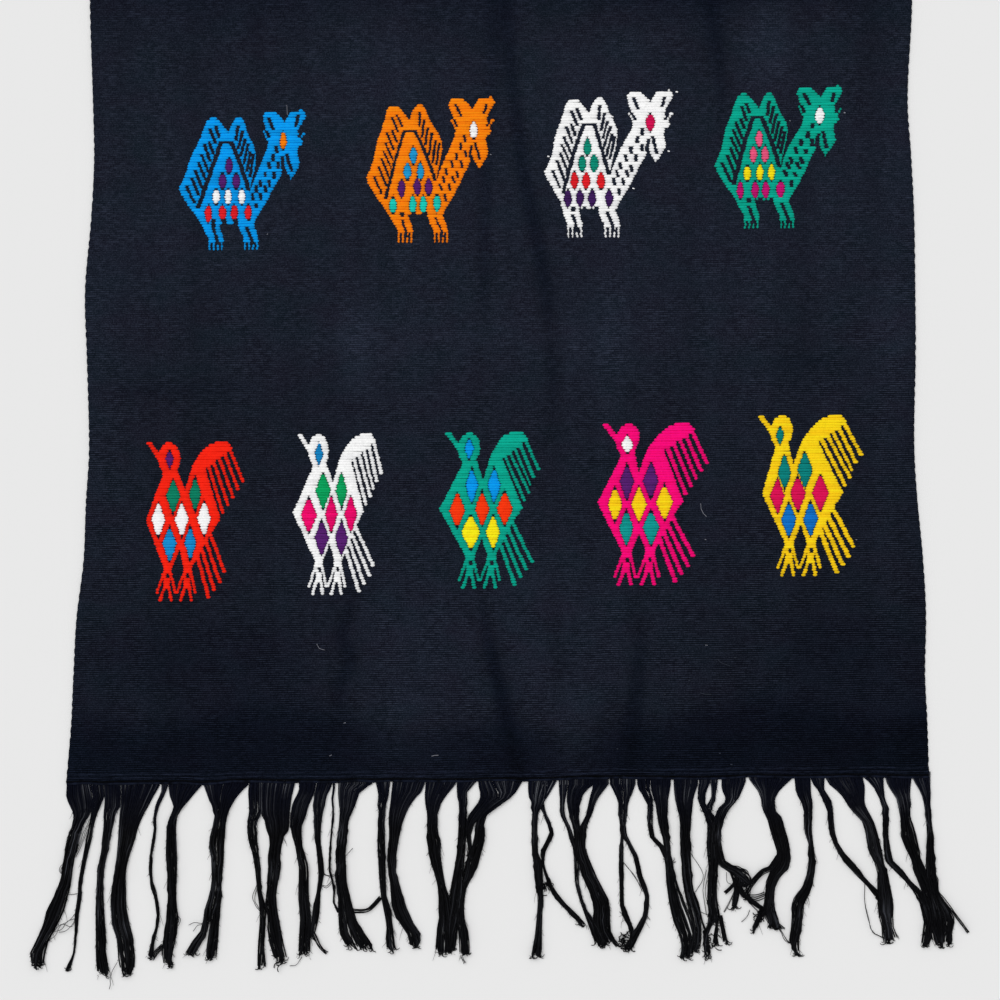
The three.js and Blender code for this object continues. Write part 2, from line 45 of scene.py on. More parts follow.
# Ground cloth
# One length of dense cotton, dyed a navy that is nearly black and woven on a backstrap loom, so
# that its selvedges wander and pull in a little at each turn of the weft. It lies face up, flat
# but for one soft fold down its middle and a few low swells and troughs beside it.

MM = 0.001
CLOTH_LENGTH = 1400.0
CLOTH_THICK = 1.2
HEM_RISE = 3.8
FAR_HEM_RISE = -1.5
HEM_WIDTH = 410.0
RIB_PITCH = 1.03  # from one weft to the next
FLAT_BELOW = 0.04  # a swell lower than this is left flat
LOWEST_TROUGH = -0.3
SCALLOP_PITCH = 4.4  # from one turn of the weft to the next, up a selvedge
SCALLOP_DEPTH = 0.42

# The selvedges' places across, at rows up the cloth.
SELVEDGE = [
    (0, -205.9, 204.9),
    (28, -203.5, 204.0),
    (49, -202.5, 203.0),
    (79, -200.9, 203.4),
    (107, -197.5, 201.8),
    (134, -196.4, 199.2),
    (160, -194.9, 197.8),
    (202, -195.9, 198.5),
    (235, -196.8, 198.3),
    (268, -194.0, 197.8),
    (296, -192.5, 196.4),
    (324, -193.0, 194.7),
    (372, -194.5, 196.8),
    (520, -196.5, 195.5),
    (760, -195.0, 197.5),
    (1040, -197.5, 196.0),
    (1260, -198.5, 199.5),
    (1400, -201.0, 202.0),
]
SELVEDGE_UP = [row[0] for row in SELVEDGE]
SELVEDGE_LEFT = [row[1] for row in SELVEDGE]
SELVEDGE_RIGHT = [row[2] for row in SELVEDGE]

# The soft lengthways fold near the middle: its place across and how high it stands.
FOLD_UP = [0, 40, 70, 91, 168, 200, 238, 290, 330, 372, 450, 540, 1400]
FOLD_ACROSS = [10.5, 2, -5, -8.5, 26, 26, 22, 11.5, 5, -5.5, -8, -6, 0]
FOLD_HIGH = [0.4, 1.4, 1.0, 0, 0, 0.5, 0.8, 0.8, 0.9, 1.4, 0.8, 0, 0]
FOLD_SPREAD = 3.2

# Broad low swells: across, up, wide, long, high.
SWELLS = [
    (-73, 55, 18, 22, 0.5),
    (67, 50, 18, 24, 0.5),
    (-120, 212, 60, 16, 0.5),
    (110, 212, 60, 16, 0.6),
    (102, 385, 20, 26, 0.7),
    (158, 390, 18, 30, 0.7),
]

# Narrow soft creases on top of the swells: rows up, places across, spread and height, and how much
# painted shade darkens them, or above nought how much painted highlight lightens them.
CREASES = [
    ([-20, 6, 40, 72, 105], [12, 9, 1.5, -6, -9], 4.4, -0.4, -0.6),
    ([140, 185, 215, 240, 290, 330, 372, 430], [26, 26, 24, 21.5, 12, 7, 3, 0], 4.2, -0.35, -0.45),
    ([150, 200, 290, 340, 420], [-8, -7, -6, -3, -6], 4.2, -0.25, -0.3),
    ([24, 46, 58, 70, 86, 104], [-72, -75, -70.5, -74, -71, -73], 3.8, -0.4, -0.4),
    ([30, 60, 92], [27, 28, 25], 4.4, -0.2, -0.25),
    ([-30, 20, 60, 100], [62, 63, 67, 68], 4.6, -0.35, -0.4),
    ([300, 345, 372, 410], [108, 104, 101, 99], 4.2, -0.3, -0.35),
    ([40, 66, 92], [-82, -83.5, -81], 4.0, 0.25, 0.15),
    ([340, 366, 392], [158.5, 157, 160], 4.0, 0.3, 0.15),
]

# Patches of painted light on the ground or, below nought, painted shade: across, up, wide, long,
# how much.
LIGHT_AND_SHADE_PATCHES = [
    (-42, 20, 26, 26, 0.32),
    (36, 20, 16, 24, 0.45),
    (205, 20, 70, 34, -0.25),
    (-45, 70, 34, 30, 0.18),
    (40, 85, 60, 40, 0.16),
    (170, 62, 42, 26, -0.2),
    (-67, 210, 11, 26, 0.32),
    (48, 206, 14, 30, 0.13),
    (0, 212, 90, 12, 0.16),
    (143, 208, 20, 22, -0.14),
    (188, 214, 15, 24, 0.2),
    (-160, 188, 30, 6, -0.2),
    (148, 198, 30, 5, -0.2),
    (-60, 345, 30, 36, 0.2),
    (40, 345, 45, 40, 0.2),
    (129, 352, 16, 24, 0.34),
    (100, 385, 60, 14, -0.5),
    (-150, 385, 60, 12, -0.15),
    (-140, 58, 80, 26, -0.3),
    (130, 62, 60, 26, -0.1),
    (-115, 165, 40, 60, -0.12),
    (145, 212, 30, 40, 0.1),
    (0, 400, 260, 50, -0.45),
]
HEM_SHADE = 0.68  # how much darker the ground is painted towards the inlaid end's hem than the rest
HEM_SHADE_UP = 30
HEM_SHADE_WANDER = 9
HEM_SHADE_SOFT = 4.2
HEM_WAVE_UP = 15  # the hem's waves die away up to here


def slope_at(ups, values, i):
    before = max(i - 1, 0)
    after = min(i + 1, len(ups) - 1)
    return (values[after] - values[before]) / (ups[after] - ups[before])


def row_below(ups, up):
    i = 0
    while i < len(ups) - 2 and ups[i + 1] < up:
        i += 1
    return i


def along(ups, values, up):
    """A column of a table at a place up the cloth, on a smooth curve through its rows."""
    i = row_below(ups, up)
    step = ups[i + 1] - ups[i]
    t = (up - ups[i]) / step
    ease = t * t * (3 - 2 * t)
    start = (t**3 - 2 * t**2 + t) * step * slope_at(ups, values, i)
    finish = (t**3 - t**2) * step * slope_at(ups, values, i + 1)
    return values[i] * (1 - ease) + values[i + 1] * ease + start + finish


def levelled(ups, values, up):
    """The same, levelling off at each row, so that it never passes the values of the rows."""
    i = row_below(ups, up)
    t = (up - ups[i]) / (ups[i + 1] - ups[i])
    return values[i] + (values[i + 1] - values[i]) * t * t * (3 - 2 * t)


def uneven(x, y, z):
    """Smooth unevenness, from about -1 to 1, that is the same at each run."""
    return noise.noise(Vector((x, y, z)))


def nearness(across, up, place, row, wide, long):
    """1 in the middle of a patch, and less and less away from it."""
    dx = (across - place) / wide
    dy = (up - row) / long
    return math.exp(-dx * dx - dy * dy)


def crease_at(across, up):
    """How high the creases stand at a place, and how much painted shade it gets from them, a
    painted highlight where that is above nought.
    """
    height = 0.0
    painted_gain = 0.0
    for ups, places, spread, high, painted_light in CREASES:
        if not ups[0] < up < ups[-1]:
            continue
        off = (across - along(ups, places, up)) / spread
        share = math.sin(math.pi * (up - ups[0]) / (ups[-1] - ups[0])) * math.exp(-off * off)
        height += high * share
        painted_gain += painted_light * share
    return height, painted_gain


def painted_light_at(across, up):
    """The share of the plain ground's brightness left at a place by painted light: the creases'
    painted shade and highlights, the painted patches, and the darker paint towards the hem.
    """
    painted_gain = crease_at(across, up)[1]
    for *patch, painted_light in LIGHT_AND_SHADE_PATCHES:
        painted_gain += painted_light * nearness(across, up, *patch)
    edge = HEM_SHADE_UP + HEM_SHADE_WANDER * uneven(across / 52, 0.3, 6.2)
    painted_gain -= HEM_SHADE / (1 + math.exp((up - edge) / HEM_SHADE_SOFT))
    return math.exp(painted_gain)


def relief(across, up):
    """The height of the cloth's underside over the surface that it lies on."""
    off_fold = (across - along(FOLD_UP, FOLD_ACROSS, up)) / FOLD_SPREAD
    height = levelled(FOLD_UP, FOLD_HIGH, up) * math.exp(-off_fold * off_fold)
    for *swell, high in SWELLS:
        height += high * nearness(across, up, *swell)
    return height if height >= FLAT_BELOW else 0.0


def hem_y(across, share):
    """Y along a row of the cloth, in mm: share 0 is the inlaid end's hem and 1 is the far one."""
    near = -CLOTH_LENGTH / 2 + HEM_RISE * across / HEM_WIDTH
    far = CLOTH_LENGTH / 2 + FAR_HEM_RISE * across / HEM_WIDTH
    return near * (1 - share) + far * share


def wavy_y(across, up):
    """Y of a place on the cloth, whose last wefts wander a little, the more the nearer the hem."""
    wave = 0.9 * uneven(across / 27, 0.7, 2.2)
    wave += 0.35 * uneven(across / 9, 0.2, 4.9)
    return hem_y(across, up / CLOTH_LENGTH) + wave * max(0.0, 1 - up / HEM_WAVE_UP) ** 1.5


def cockle(across, up):
    """The slight unevenness of a washed cloth that has no crease in it."""
    broad = uneven(across / 34, up / 26, 1.7)
    fine = uneven(across / 11, up / 9, 5.3)
    return 0.07 * broad + 0.025 * fine


def face_height(across, up):
    """The height of the cloth's upper face away from its edges."""
    lifted = relief(across, up) + crease_at(across, up)[0]
    return CLOTH_THICK + max(lifted, LOWEST_TROUGH) + cockle(across, up)


def scallop(up, side):
    """How far a selvedge pulls in between the turns of the weft."""
    wander = 2.2 * uneven(up / 23, side * 9.1, 0.4)
    wave = math.sin(2 * math.pi * (up + wander) / SCALLOP_PITCH)
    deep = 0.5 + 0.5 * uneven(up / 7, side * 4.3, 2.6)
    return SCALLOP_DEPTH * deep * max(wave, -0.3)


# The cloth's mesh: columns beside a selvedge, in from it, and their heights, columns over the
# fold, rows beside a hem, and the finer rows up to where the photograph ends.
EDGE_STEPS = [0, 0.3, 0.8, 1.6, 2.8, 4.6, 7.0]
EDGE_HEIGHTS = [0.5, 0.95, 1.2, 1.3, 1.22, 1.2, 1.2]
FOLD_STEPS = [k * 1.5 - 12 for k in range(17)]
SIDE_COLUMNS = 66
HEM_ROWS = [1.1, 1.45, 2.0]
HEM_HEIGHTS = [0.55, 1.0, 1.2]
VISIBLE_UP = 396
VISIBLE_STEP = 1.25
PLAIN_STEP = 5.0
UNDER_SKIP = 15  # the underside keeps one column in so many


def cloth_rows():
    rows = HEM_ROWS[:]
    while rows[-1] < VISIBLE_UP:
        rows.append(rows[-1] + VISIBLE_STEP)
    last = rows[-1]
    steps = round((CLOTH_LENGTH - last) / PLAIN_STEP)
    rows += [last + (CLOTH_LENGTH - last) * k / steps for k in range(1, steps)]
    return rows[:-1] + [CLOTH_LENGTH - step for step in reversed(HEM_ROWS)]


def cloth_columns(up):
    left = along(SELVEDGE_UP, SELVEDGE_LEFT, up) + scallop(up, -1)
    right = along(SELVEDGE_UP, SELVEDGE_RIGHT, up) - scallop(up, 1)
    fold = along(FOLD_UP, FOLD_ACROSS, up)
    middle = [fold + step for step in FOLD_STEPS]
    inner_left = left + EDGE_STEPS[-1]
    inner_right = right - EDGE_STEPS[-1]
    steps = [k / SIDE_COLUMNS for k in range(1, SIDE_COLUMNS)]
    left_side = [left + s for s in EDGE_STEPS]
    left_side += [inner_left + (middle[0] - inner_left) * s for s in steps]
    right_side = [middle[-1] + (inner_right - middle[-1]) * s for s in steps]
    right_side += [right - s for s in reversed(EDGE_STEPS)]
    return left_side + middle + right_side


def edge_share(steps, heights, distance):
    """The share of its full thickness that the cloth has near an edge."""
    return float(np.interp(distance, steps, heights)) / CLOTH_THICK


def cloth_mesh():
    rows = cloth_rows()
    grid = [cloth_columns(up) for up in rows]
    count = len(grid[0])
    kept = sorted({0, 3, count - 4, count - 1, *range(6, count - 6, UNDER_SKIP)})
    points = []
    top = []
    for up, columns in zip(rows, grid):
        at_hem = edge_share(HEM_ROWS, HEM_HEIGHTS, min(up, CLOTH_LENGTH - up))
        line = []
        for across in columns:
            inward = min(across - columns[0], columns[-1] - across)
            at_side = edge_share(EDGE_STEPS, EDGE_HEIGHTS, inward)
            base = relief(across, up)
            z = base + (face_height(across, up) - base) * at_hem * at_side
            line.append(len(points))
            points.append((across * MM, wavy_y(across, up) * MM, z * MM))
        top.append(line)
    under = []
    for r, (up, columns) in enumerate(zip(rows, grid)):
        whole_row = r in (0, len(rows) - 1)
        line = {}
        for c in range(count) if whole_row else kept:
            x, y, _ = points[top[r][c]]
            line[c] = len(points)
            points.append((x, y, relief(columns[c], up) * MM))
        under.append(line)
    faces = []
    for r in range(len(rows) - 1):
        low, high = top[r], top[r + 1]
        faces += [(low[c], low[c + 1], high[c + 1], high[c]) for c in range(count - 1)]
        below, above = under[r], under[r + 1]
        for a, b in zip(kept, kept[1:]):
            near = [below[c] for c in range(a, b + 1) if c in below]
            far = [above[c] for c in range(b, a - 1, -1) if c in above]
            faces.append(tuple(reversed(near + far)))
        faces.append((low[0], high[0], above[0], below[0]))
        faces.append((high[-1], low[-1], below[count - 1], above[count - 1]))
    for c in range(count - 1):
        faces.append((under[0][c], under[0][c + 1], top[0][c + 1], top[0][c]))
        faces.append((top[-1][c], top[-1][c + 1], under[-1][c + 1], under[-1][c]))
    mesh = bpy.data.meshes.new("woven_ground")
    mesh.from_pydata(points, [], faces)
    mesh.shade_smooth()
    # Painted light and shade, kept on the cloth's points for its material.
    painted_light_shade = [painted_light_at(across, up) for up, columns in zip(rows, grid) for across in columns]
    painted_light_shade += [1.0] * (len(points) - len(painted_light_shade))
    mesh.attributes.new("painted_light_shade", "FLOAT", "POINT").data.foreach_set("value", painted_light_shade)
    weft = [up / RIB_PITCH for up, columns in zip(rows, grid) for _ in columns]
    weft += [0.0] * (len(points) - len(weft))
    mesh.attributes.new("weft", "FLOAT", "POINT").data.foreach_set("value", weft)
    return mesh


def add_piece(name, mesh, material=None):
    """A piece at the origin, with its place in its mesh, that goes with the whole runner."""
    piece = bpy.data.objects.new(name, mesh)
    scene.collection.objects.link(piece)
    if material is not None:
        mesh.materials.clear()
        mesh.materials.append(material)
    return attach(piece, "root")


def linear(colour):
    """A colour given in the photograph's own 0 to 255 steps, as the shaders want it."""
    steps = [c / 255 for c in colour]
    return [s / 12.92 if s <= 0.04045 else ((s + 0.055) / 1.055) ** 2.4 for s in steps] + [1.0]


class Finish:
    """A material in the making: nodes are added by kind, and joined as they are made."""

    def __init__(self, name, roughness, gloss):
        self.material = bpy.data.materials.new(name)
        self.material.use_nodes = True
        self.tree = self.material.node_tree
        self.shader = self.tree.nodes["Principled BSDF"]
        self.shader.inputs["Roughness"].default_value = roughness
        self.shader.inputs["Specular IOR Level"].default_value = gloss

    def put(self, socket, value):
        if isinstance(value, bpy.types.NodeSocket):
            self.tree.links.new(value, socket)
        else:
            socket.default_value = value

    def node(self, kind, inputs=None, **settings):
        made = self.tree.nodes.new(kind)
        for key, value in settings.items():
            setattr(made, key, value)
        for key, value in (inputs or {}).items():
            self.put(made.inputs[key], value)
        return made

    def maths(self, operation, first, second=0.0):
        inputs = {0: first, 1: second}
        return self.node("ShaderNodeMath", inputs, operation=operation).outputs[0]

    def place(self):
        return self.node("ShaderNodeTexCoord").outputs["Object"]

    def stretched(self, vector, scale):
        inputs = {0: vector, 1: scale}
        return self.node("ShaderNodeVectorMath", inputs, operation="MULTIPLY").outputs[0]

    def cloud(self, vector, scale, detail=2.0, roughness=0.5):
        inputs = {"Vector": vector, "Scale": scale, "Detail": detail, "Roughness": roughness}
        return self.node("ShaderNodeTexNoise", inputs).outputs["Fac"]

    def spread(self, value, low, high, to_low=0.0, to_high=1.0):
        inputs = {0: value, 1: low, 2: high, 3: to_low, 4: to_high}
        return self.node("ShaderNodeMapRange", inputs).outputs[0]

    def blend(self, share, first, second, way="MIX"):
        made = self.node("ShaderNodeMix", data_type="RGBA", blend_type=way)
        self.put(made.inputs[0], share)
        self.put(made.inputs[6], first)
        self.put(made.inputs[7], second)
        return made.outputs[2]

    def raise_by(self, height, strength, distance):
        inputs = {"Height": height, "Strength": strength, "Distance": distance}
        normal = self.node("ShaderNodeBump", inputs).outputs["Normal"]
        self.put(self.shader.inputs["Normal"], normal)


# The ground's dyes: navy in its warmer, bluer and paler washes, the painted highlight on the
# crests of its ribs, light and dark flecks of fibre, the painted shade in the gullies between its
# ribs, and its dark streaks.
NAVY_WARM = (24, 25, 37)
NAVY_BLUE = (20, 29, 39)
NAVY_PALE = (29, 32, 47)
CREST_HIGHLIGHT = (56, 63, 81)
FLECK_LIGHT = (57, 62, 77)
FLECK_DARK = (6, 8, 14)
GULLY_SHADE = (4, 6, 11)
STREAK_DARK = (14, 17, 26)
# a bluer tint laid where the ground is painted darker
SHADE_BLUE_TINT = (0.72, 0.82, 1.0, 1.0)
RIB_RELIEF = 0.00022


def ground_material():
    finish = Finish("ground_cotton_weave", 0.95, 0.03)
    place = finish.place()
    x = finish.node("ShaderNodeSeparateXYZ", {0: place}).outputs[0]
    weft = finish.node("ShaderNodeAttribute", attribute_name="weft").outputs["Fac"]
    waver = finish.spread(finish.cloud(place, 45.0), 0.0, 1.0, -0.5, 0.5)
    row = finish.maths("ADD", weft, waver)
    index = finish.maths("FLOOR", row)
    within = finish.maths("SUBTRACT", row, index)
    rib = finish.maths("SINE", finish.maths("MULTIPLY", within, math.pi))
    cell = finish.node("ShaderNodeCombineXYZ", {0: x, 1: finish.maths("MULTIPLY", index, 0.0137)})
    dashes = finish.cloud(cell.outputs[0], 260.0, 3.0, 0.6)
    dash = finish.spread(dashes, 0.42, 0.74)
    warp = finish.cloud(finish.stretched(place, (1500.0, 90.0, 1.0)), 1.0, 1.0)
    height = finish.maths("MULTIPLY", rib, finish.spread(dashes, 0.3, 0.7, 0.3, 1.0))
    height = finish.maths("ADD", height, finish.maths("MULTIPLY", warp, 0.5))
    cloudy = finish.cloud(place, 16.0, 3.0)
    bluer = finish.cloud(finish.stretched(place, (1.0, 1.6, 1.0)), 33.0, 2.0)
    streak = finish.cloud(finish.stretched(place, (60.0, 2.5, 1.0)), 1.0, 2.0)
    grain = finish.cloud(finish.stretched(place, (1500.0, 1700.0, 1.0)), 1.0, 1.0)
    ink = finish.blend(finish.spread(bluer, 0.35, 0.65), linear(NAVY_WARM), linear(NAVY_BLUE))
    ink = finish.blend(finish.spread(cloudy, 0.35, 0.7, 0.0, 0.3), ink, linear(NAVY_PALE))
    patchy = finish.spread(finish.cloud(place, 85.0, 2.0), 0.38, 0.62, 0.55, 1.4)
    # painted highlight on the crests of the ribs
    crests = finish.maths("MULTIPLY", finish.maths("MULTIPLY", dash, 0.45), patchy)
    ink = finish.blend(crests, ink, linear(CREST_HIGHLIGHT))
    ink = finish.blend(finish.spread(grain, 0.5, 0.75, 0.0, 0.45), ink, linear(FLECK_LIGHT))
    ink = finish.blend(finish.spread(grain, 0.25, 0.5, 0.6, 0.0), ink, linear(FLECK_DARK))
    deep = finish.spread(weft, 90.0, 260.0, 1.0, 0.4)
    deep = finish.maths("MULTIPLY", deep, finish.spread(x, 0.02, 0.16, 1.0, 1.3))
    # painted shade in the gullies between the ribs, deepest near the hem
    gully = finish.spread(rib, 0.1, 0.85, finish.maths("MULTIPLY", deep, patchy), 0.0)
    ink = finish.blend(gully, ink, linear(GULLY_SHADE))
    ink = finish.blend(finish.spread(streak, 0.4, 0.7, 0.0, 0.25), ink, linear(STREAK_DARK))
    # Painted light and shade: it scales the ground's colour, and tints it bluer where it darkens
    # it.
    painted_light_shade = finish.node("ShaderNodeAttribute", attribute_name="painted_light_shade").outputs["Fac"]
    bluish = finish.spread(painted_light_shade, 0.5, 0.9, 1.0, 0.0)
    ink = finish.blend(bluish, ink, SHADE_BLUE_TINT, "MULTIPLY")
    painted_light = finish.node("ShaderNodeVectorMath", {0: ink, "Scale": painted_light_shade}, operation="SCALE")
    finish.put(finish.shader.inputs["Base Color"], painted_light.outputs[0])
    finish.raise_by(height, 0.8, RIB_RELIEF)
    return finish.material


ground = add_piece("woven_ground", cloth_mesh(), ground_material())
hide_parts("ground_cloth")

# Inlaid figures
# Four winged beasts and five birds, worked as the cloth was woven: behind each weft a soft, thick
# coloured yarn was laid by hand across the warps that the figure covers. Every row of it floats
# on the face as its own ridge, so slanting outlines are stepped and the ground shows in the slits.

FLOAT_PITCH = 1.225
WARP_STEP = 0.5  # a float begins and ends between two warps
FLOAT_HALF = 0.74
FLOAT_FLATNESS = 0.45
FLOAT_LIFT = 0.16  # a float's middle over the cloth's face
FLOAT_SUNK = -0.14  # its ends, where it goes back down
FULL_LENGTH = 5.0  # a shorter float is darker, as more of the ground shows beside it
OPEN_WIDE = 1.1  # the slit round a lozenge, beside the lozenge itself
OPEN_TALL = 1.16
SHORTEST_ROW = 0.012  # on the chart: a shorter row of a lozenge is left out
TIE_STEP = 2.6  # from one slight dip of a float to the next

RED = (250, 38, 20)
ORANGE = (255, 133, 14)
WHITE = (252, 252, 253)
GREEN = (10, 166, 142)
BLUE = (8, 153, 234)
PINK = (250, 10, 120)
YELLOW = (255, 210, 24)
PURPLE = (88, 34, 112)
SKY = (24, 140, 205)
LEAF = (12, 160, 92)
MAGENTA = (236, 12, 108)
TEAL = (12, 128, 124)
TURQUOISE = (30, 205, 190)
PALE_SKY = (34, 156, 214)
DARK_LEAF = (14, 130, 100)
CRIMSON = (214, 20, 84)
VERMILION = (252, 58, 16)
DEEP_BLUE = (18, 112, 196)
LEMON = (255, 230, 24)
ROSE = (240, 92, 134)
PLUM = (198, 22, 114)
SCARLET = (228, 34, 42)
JADE = (14, 142, 118)
VIOLET = (64, 32, 92)
LAGOON = (18, 148, 142)

# Each figure: the left and foot of its box, its width and height, how open its slits are, its yarn
# and slot, its eye's dye, place on the chart and width beside the others, and its rows of small
# lozenges: their dye and places on the chart, and how wide one is where it differs.
FIGURES = {
    "blue_beast": {
        "kind": "beast", "left": -152.1, "foot": 253.7, "wide": 61.4, "tall": 66.6,
        "open": 1.12, "yarn": BLUE, "slot": "yarn_blue", "eye": (ORANGE, 0.81, 0.225, 0.85),
        "rows": [
            (PURPLE, [(0.39, 0.40)]),
            (PURPLE, [(0.34, 0.51), (0.445, 0.51)]),
            (WHITE, [(0.29, 0.62), (0.385, 0.62), (0.49, 0.62)]),
            (SCARLET, [(0.23, 0.74), (0.34, 0.735), (0.43, 0.735), (0.54, 0.735)]),
        ],
    },
    "orange_beast": {
        "kind": "beast", "left": -63.1, "foot": 256.6, "wide": 62.8, "tall": 69.5,
        "open": 0.75, "yarn": ORANGE, "slot": "yarn_orange", "eye": (WHITE, 0.815, 0.235, 0.95),
        "rows": [
            (PALE_SKY, [(0.36, 0.405)]),
            (PALE_SKY, [(0.315, 0.515), (0.415, 0.515)]),
            (PURPLE, [(0.27, 0.63), (0.39, 0.62), (0.475, 0.62)]),
            (TURQUOISE, [(0.205, 0.745), (0.355, 0.74), (0.435, 0.74), (0.54, 0.73)]),
        ],
    },
    "white_beast": {
        "kind": "beast", "left": 21.7, "foot": 258.5, "wide": 64.3, "tall": 70.4,
        "open": 1.05, "yarn": WHITE, "slot": "yarn_white", "eye": (CRIMSON, 0.785, 0.225, 1.05),
        "rows": [
            (JADE, [(0.32, 0.39)]),
            (JADE, [(0.28, 0.50), (0.37, 0.50, 1.15)]),
            (SCARLET, [(0.225, 0.615), (0.31, 0.62), (0.42, 0.62)]),
            (VIOLET, [(0.175, 0.735), (0.265, 0.735), (0.355, 0.735), (0.48, 0.735)]),
        ],
    },
    "green_beast": {
        "kind": "beast", "left": 102.6, "foot": 262.3, "wide": 61.9, "tall": 68.1,
        "open": 1.15, "yarn": GREEN, "slot": "yarn_green", "eye": (WHITE, 0.81, 0.215, 1.15),
        "rows": [
            (ROSE, [(0.345, 0.375)]),
            (ROSE, [(0.30, 0.485), (0.39, 0.485)]),
            (LEMON, [(0.255, 0.615), (0.35, 0.61), (0.44, 0.61)]),
            (PLUM, [(0.20, 0.735), (0.315, 0.73), (0.395, 0.73), (0.51, 0.725, 1.15)]),
        ],
    },
    "red_bird": {
        "kind": "bird", "left": -167.8, "foot": 87.1, "wide": 47.6, "tall": 75.7,
        "open": 1.1, "yarn": RED, "slot": "yarn_red", "eye": (PURPLE, 0.24, 0.11, 0.95),
        "rows": [
            (DARK_LEAF, [(0.275, 0.342), (0.494, 0.331, 0.85)]),
            (WHITE, [(0.127, 0.49), (0.361, 0.487), (0.584, 0.483)]),
            (SKY, [(0.239, 0.64, 1.05), (0.446, 0.635, 0.85)]),
        ],
    },
    "white_bird": {
        "kind": "bird", "left": -98.3, "foot": 89.5, "wide": 43.8, "tall": 76.6,
        "open": 0.9, "yarn": WHITE, "slot": "yarn_white", "eye": (SKY, 0.295, 0.125, 1.0),
        "rows": [
            (LEAF, [(0.34, 0.355, 1.2), (0.54, 0.355, 0.9)]),
            (MAGENTA, [(0.185, 0.505, 1.25), (0.43, 0.50), (0.64, 0.50, 0.95)]),
            (PURPLE, [(0.325, 0.645, 1.1), (0.54, 0.65)]),
        ],
    },
    "green_bird": {
        "kind": "bird", "left": -28.8, "foot": 91.9, "wide": 49.5, "tall": 74.3,
        "open": 1.1, "yarn": GREEN, "slot": "yarn_green", "eye": (BLUE, 0.30, 0.105, 1.0),
        "rows": [
            (BLUE, [(0.325, 0.34, 0.9), (0.54, 0.34, 0.9)]),
            (VERMILION, [(0.185, 0.495, 1.1), (0.425, 0.49), (0.64, 0.49, 1.1)]),
            (LEMON, [(0.315, 0.64, 1.35), (0.53, 0.64)]),
        ],
    },
    "pink_bird": {
        "kind": "bird", "left": 46.4, "foot": 92.8, "wide": 54.3, "tall": 77.1,
        "open": 1.0, "yarn": PINK, "slot": "yarn_pink", "eye": (WHITE, 0.275, 0.13, 1.2),
        "rows": [
            (PURPLE, [(0.27, 0.36, 0.9), (0.48, 0.355)]),
            (YELLOW, [(0.165, 0.50, 0.9), (0.375, 0.50, 0.95), (0.60, 0.49, 1.05)]),
            (LAGOON, [(0.265, 0.645, 0.9), (0.48, 0.645, 1.05)]),
        ],
    },
    "yellow_bird": {
        "kind": "bird", "left": 123.0, "foot": 96.6, "wide": 50.9, "tall": 76.6,
        "open": 0.8, "yarn": YELLOW, "slot": "yarn_yellow", "eye": (TEAL, 0.215, 0.125, 0.9),
        "rows": [
            (TEAL, [(0.255, 0.355, 0.9), (0.445, 0.34, 1.05)]),
            (CRIMSON, [(0.19, 0.50, 0.95), (0.38, 0.49, 1.05), (0.59, 0.485, 1.1)]),
            (DEEP_BLUE, [(0.295, 0.65), (0.50, 0.645)]),
        ],
    },
}

# Where the parts of a figure lie on its chart, u across and v down.
PART_PLACES = {
    "bird": {
        "head": (0.2, 0.08),
        "breast": (0, 0.487),
        "vee": (0.394, 0.3),
        "back": (0.75, 0.47),
        "crest": (0.77, 0),
        "tip": (0.98, 0.26),
        "tail": (0.72, 0.9),
        "feet": (0.32, 0.92),
    },
    "beast": {
        "rump": (0, 0.5525),
        "peaks": (0.38, 0.1),
        "tent": (0.367, 0.24),
        "notch": (0.57, 0.48),
        "head": (0.82, 0.2),
        "chest": (0.658, 0.693),
        "feet": (0.42, 0.95),
    },
}

# No two figures were laid in alike: how far the parts of each one lie right of the chart.
DRIFTS = {
    "orange_beast": {"peaks": -0.06, "tent": -0.035, "notch": -0.02, "head": -0.01, "feet": 0.01},
    "white_beast": {
        "peaks": -0.055, "tent": -0.035, "notch": -0.068, "head": -0.032, "chest": -0.05,
        "feet": -0.06,
    },
    "green_beast": {"peaks": -0.045, "tent": -0.035, "notch": -0.045, "chest": -0.01},
    "white_bird": {
        "head": 0.055, "breast": 0.01, "vee": 0.055, "back": 0.035, "crest": 0.05,
        "tail": 0.1, "feet": 0.08,
    },
    "green_bird": {
        "head": 0.065, "breast": 0.01, "vee": 0.04, "back": 0.065, "tail": 0.11, "feet": 0.095,
    },
    "pink_bird": {
        "head": 0.05, "breast": 0.01, "vee": -0.02, "back": 0.015, "tail": 0.065, "feet": 0.052,
    },
    "yellow_bird": {
        "breast": 0.045, "vee": -0.055, "back": 0.055, "crest": -0.03, "tail": 0.115,
        "feet": 0.085,
    },
}


def drift_at(name, u, v):
    """The drift at a place on the chart: each part's own, shared out by nearness."""
    drifts = DRIFTS.get(name, {})
    total = 0.0
    weights = 0.0
    for part, (pu, pv) in PART_PLACES[FIGURES[name]["kind"]].items():
        weight = 1 / ((u - pu) ** 2 + (v - pv) ** 2 + 1e-4) ** 2
        total += weight * drifts.get(part, 0.0)
        weights += weight
    return total / weights


def bar(start, end, width):
    """A slanted bar of rows on the chart, cut off level at both ends."""
    half = width / 2
    (u0, v0), (u1, v1) = start, end
    return [(u0 - half, v0), (u0 + half, v0), (u1 + half, v1), (u1 - half, v1)]


def oval(u, v, half_u, half_v, corners=14):
    turns = [2 * math.pi * k / corners for k in range(corners)]
    return [(u + half_u * math.cos(t), v + half_v * math.sin(t)) for t in turns]


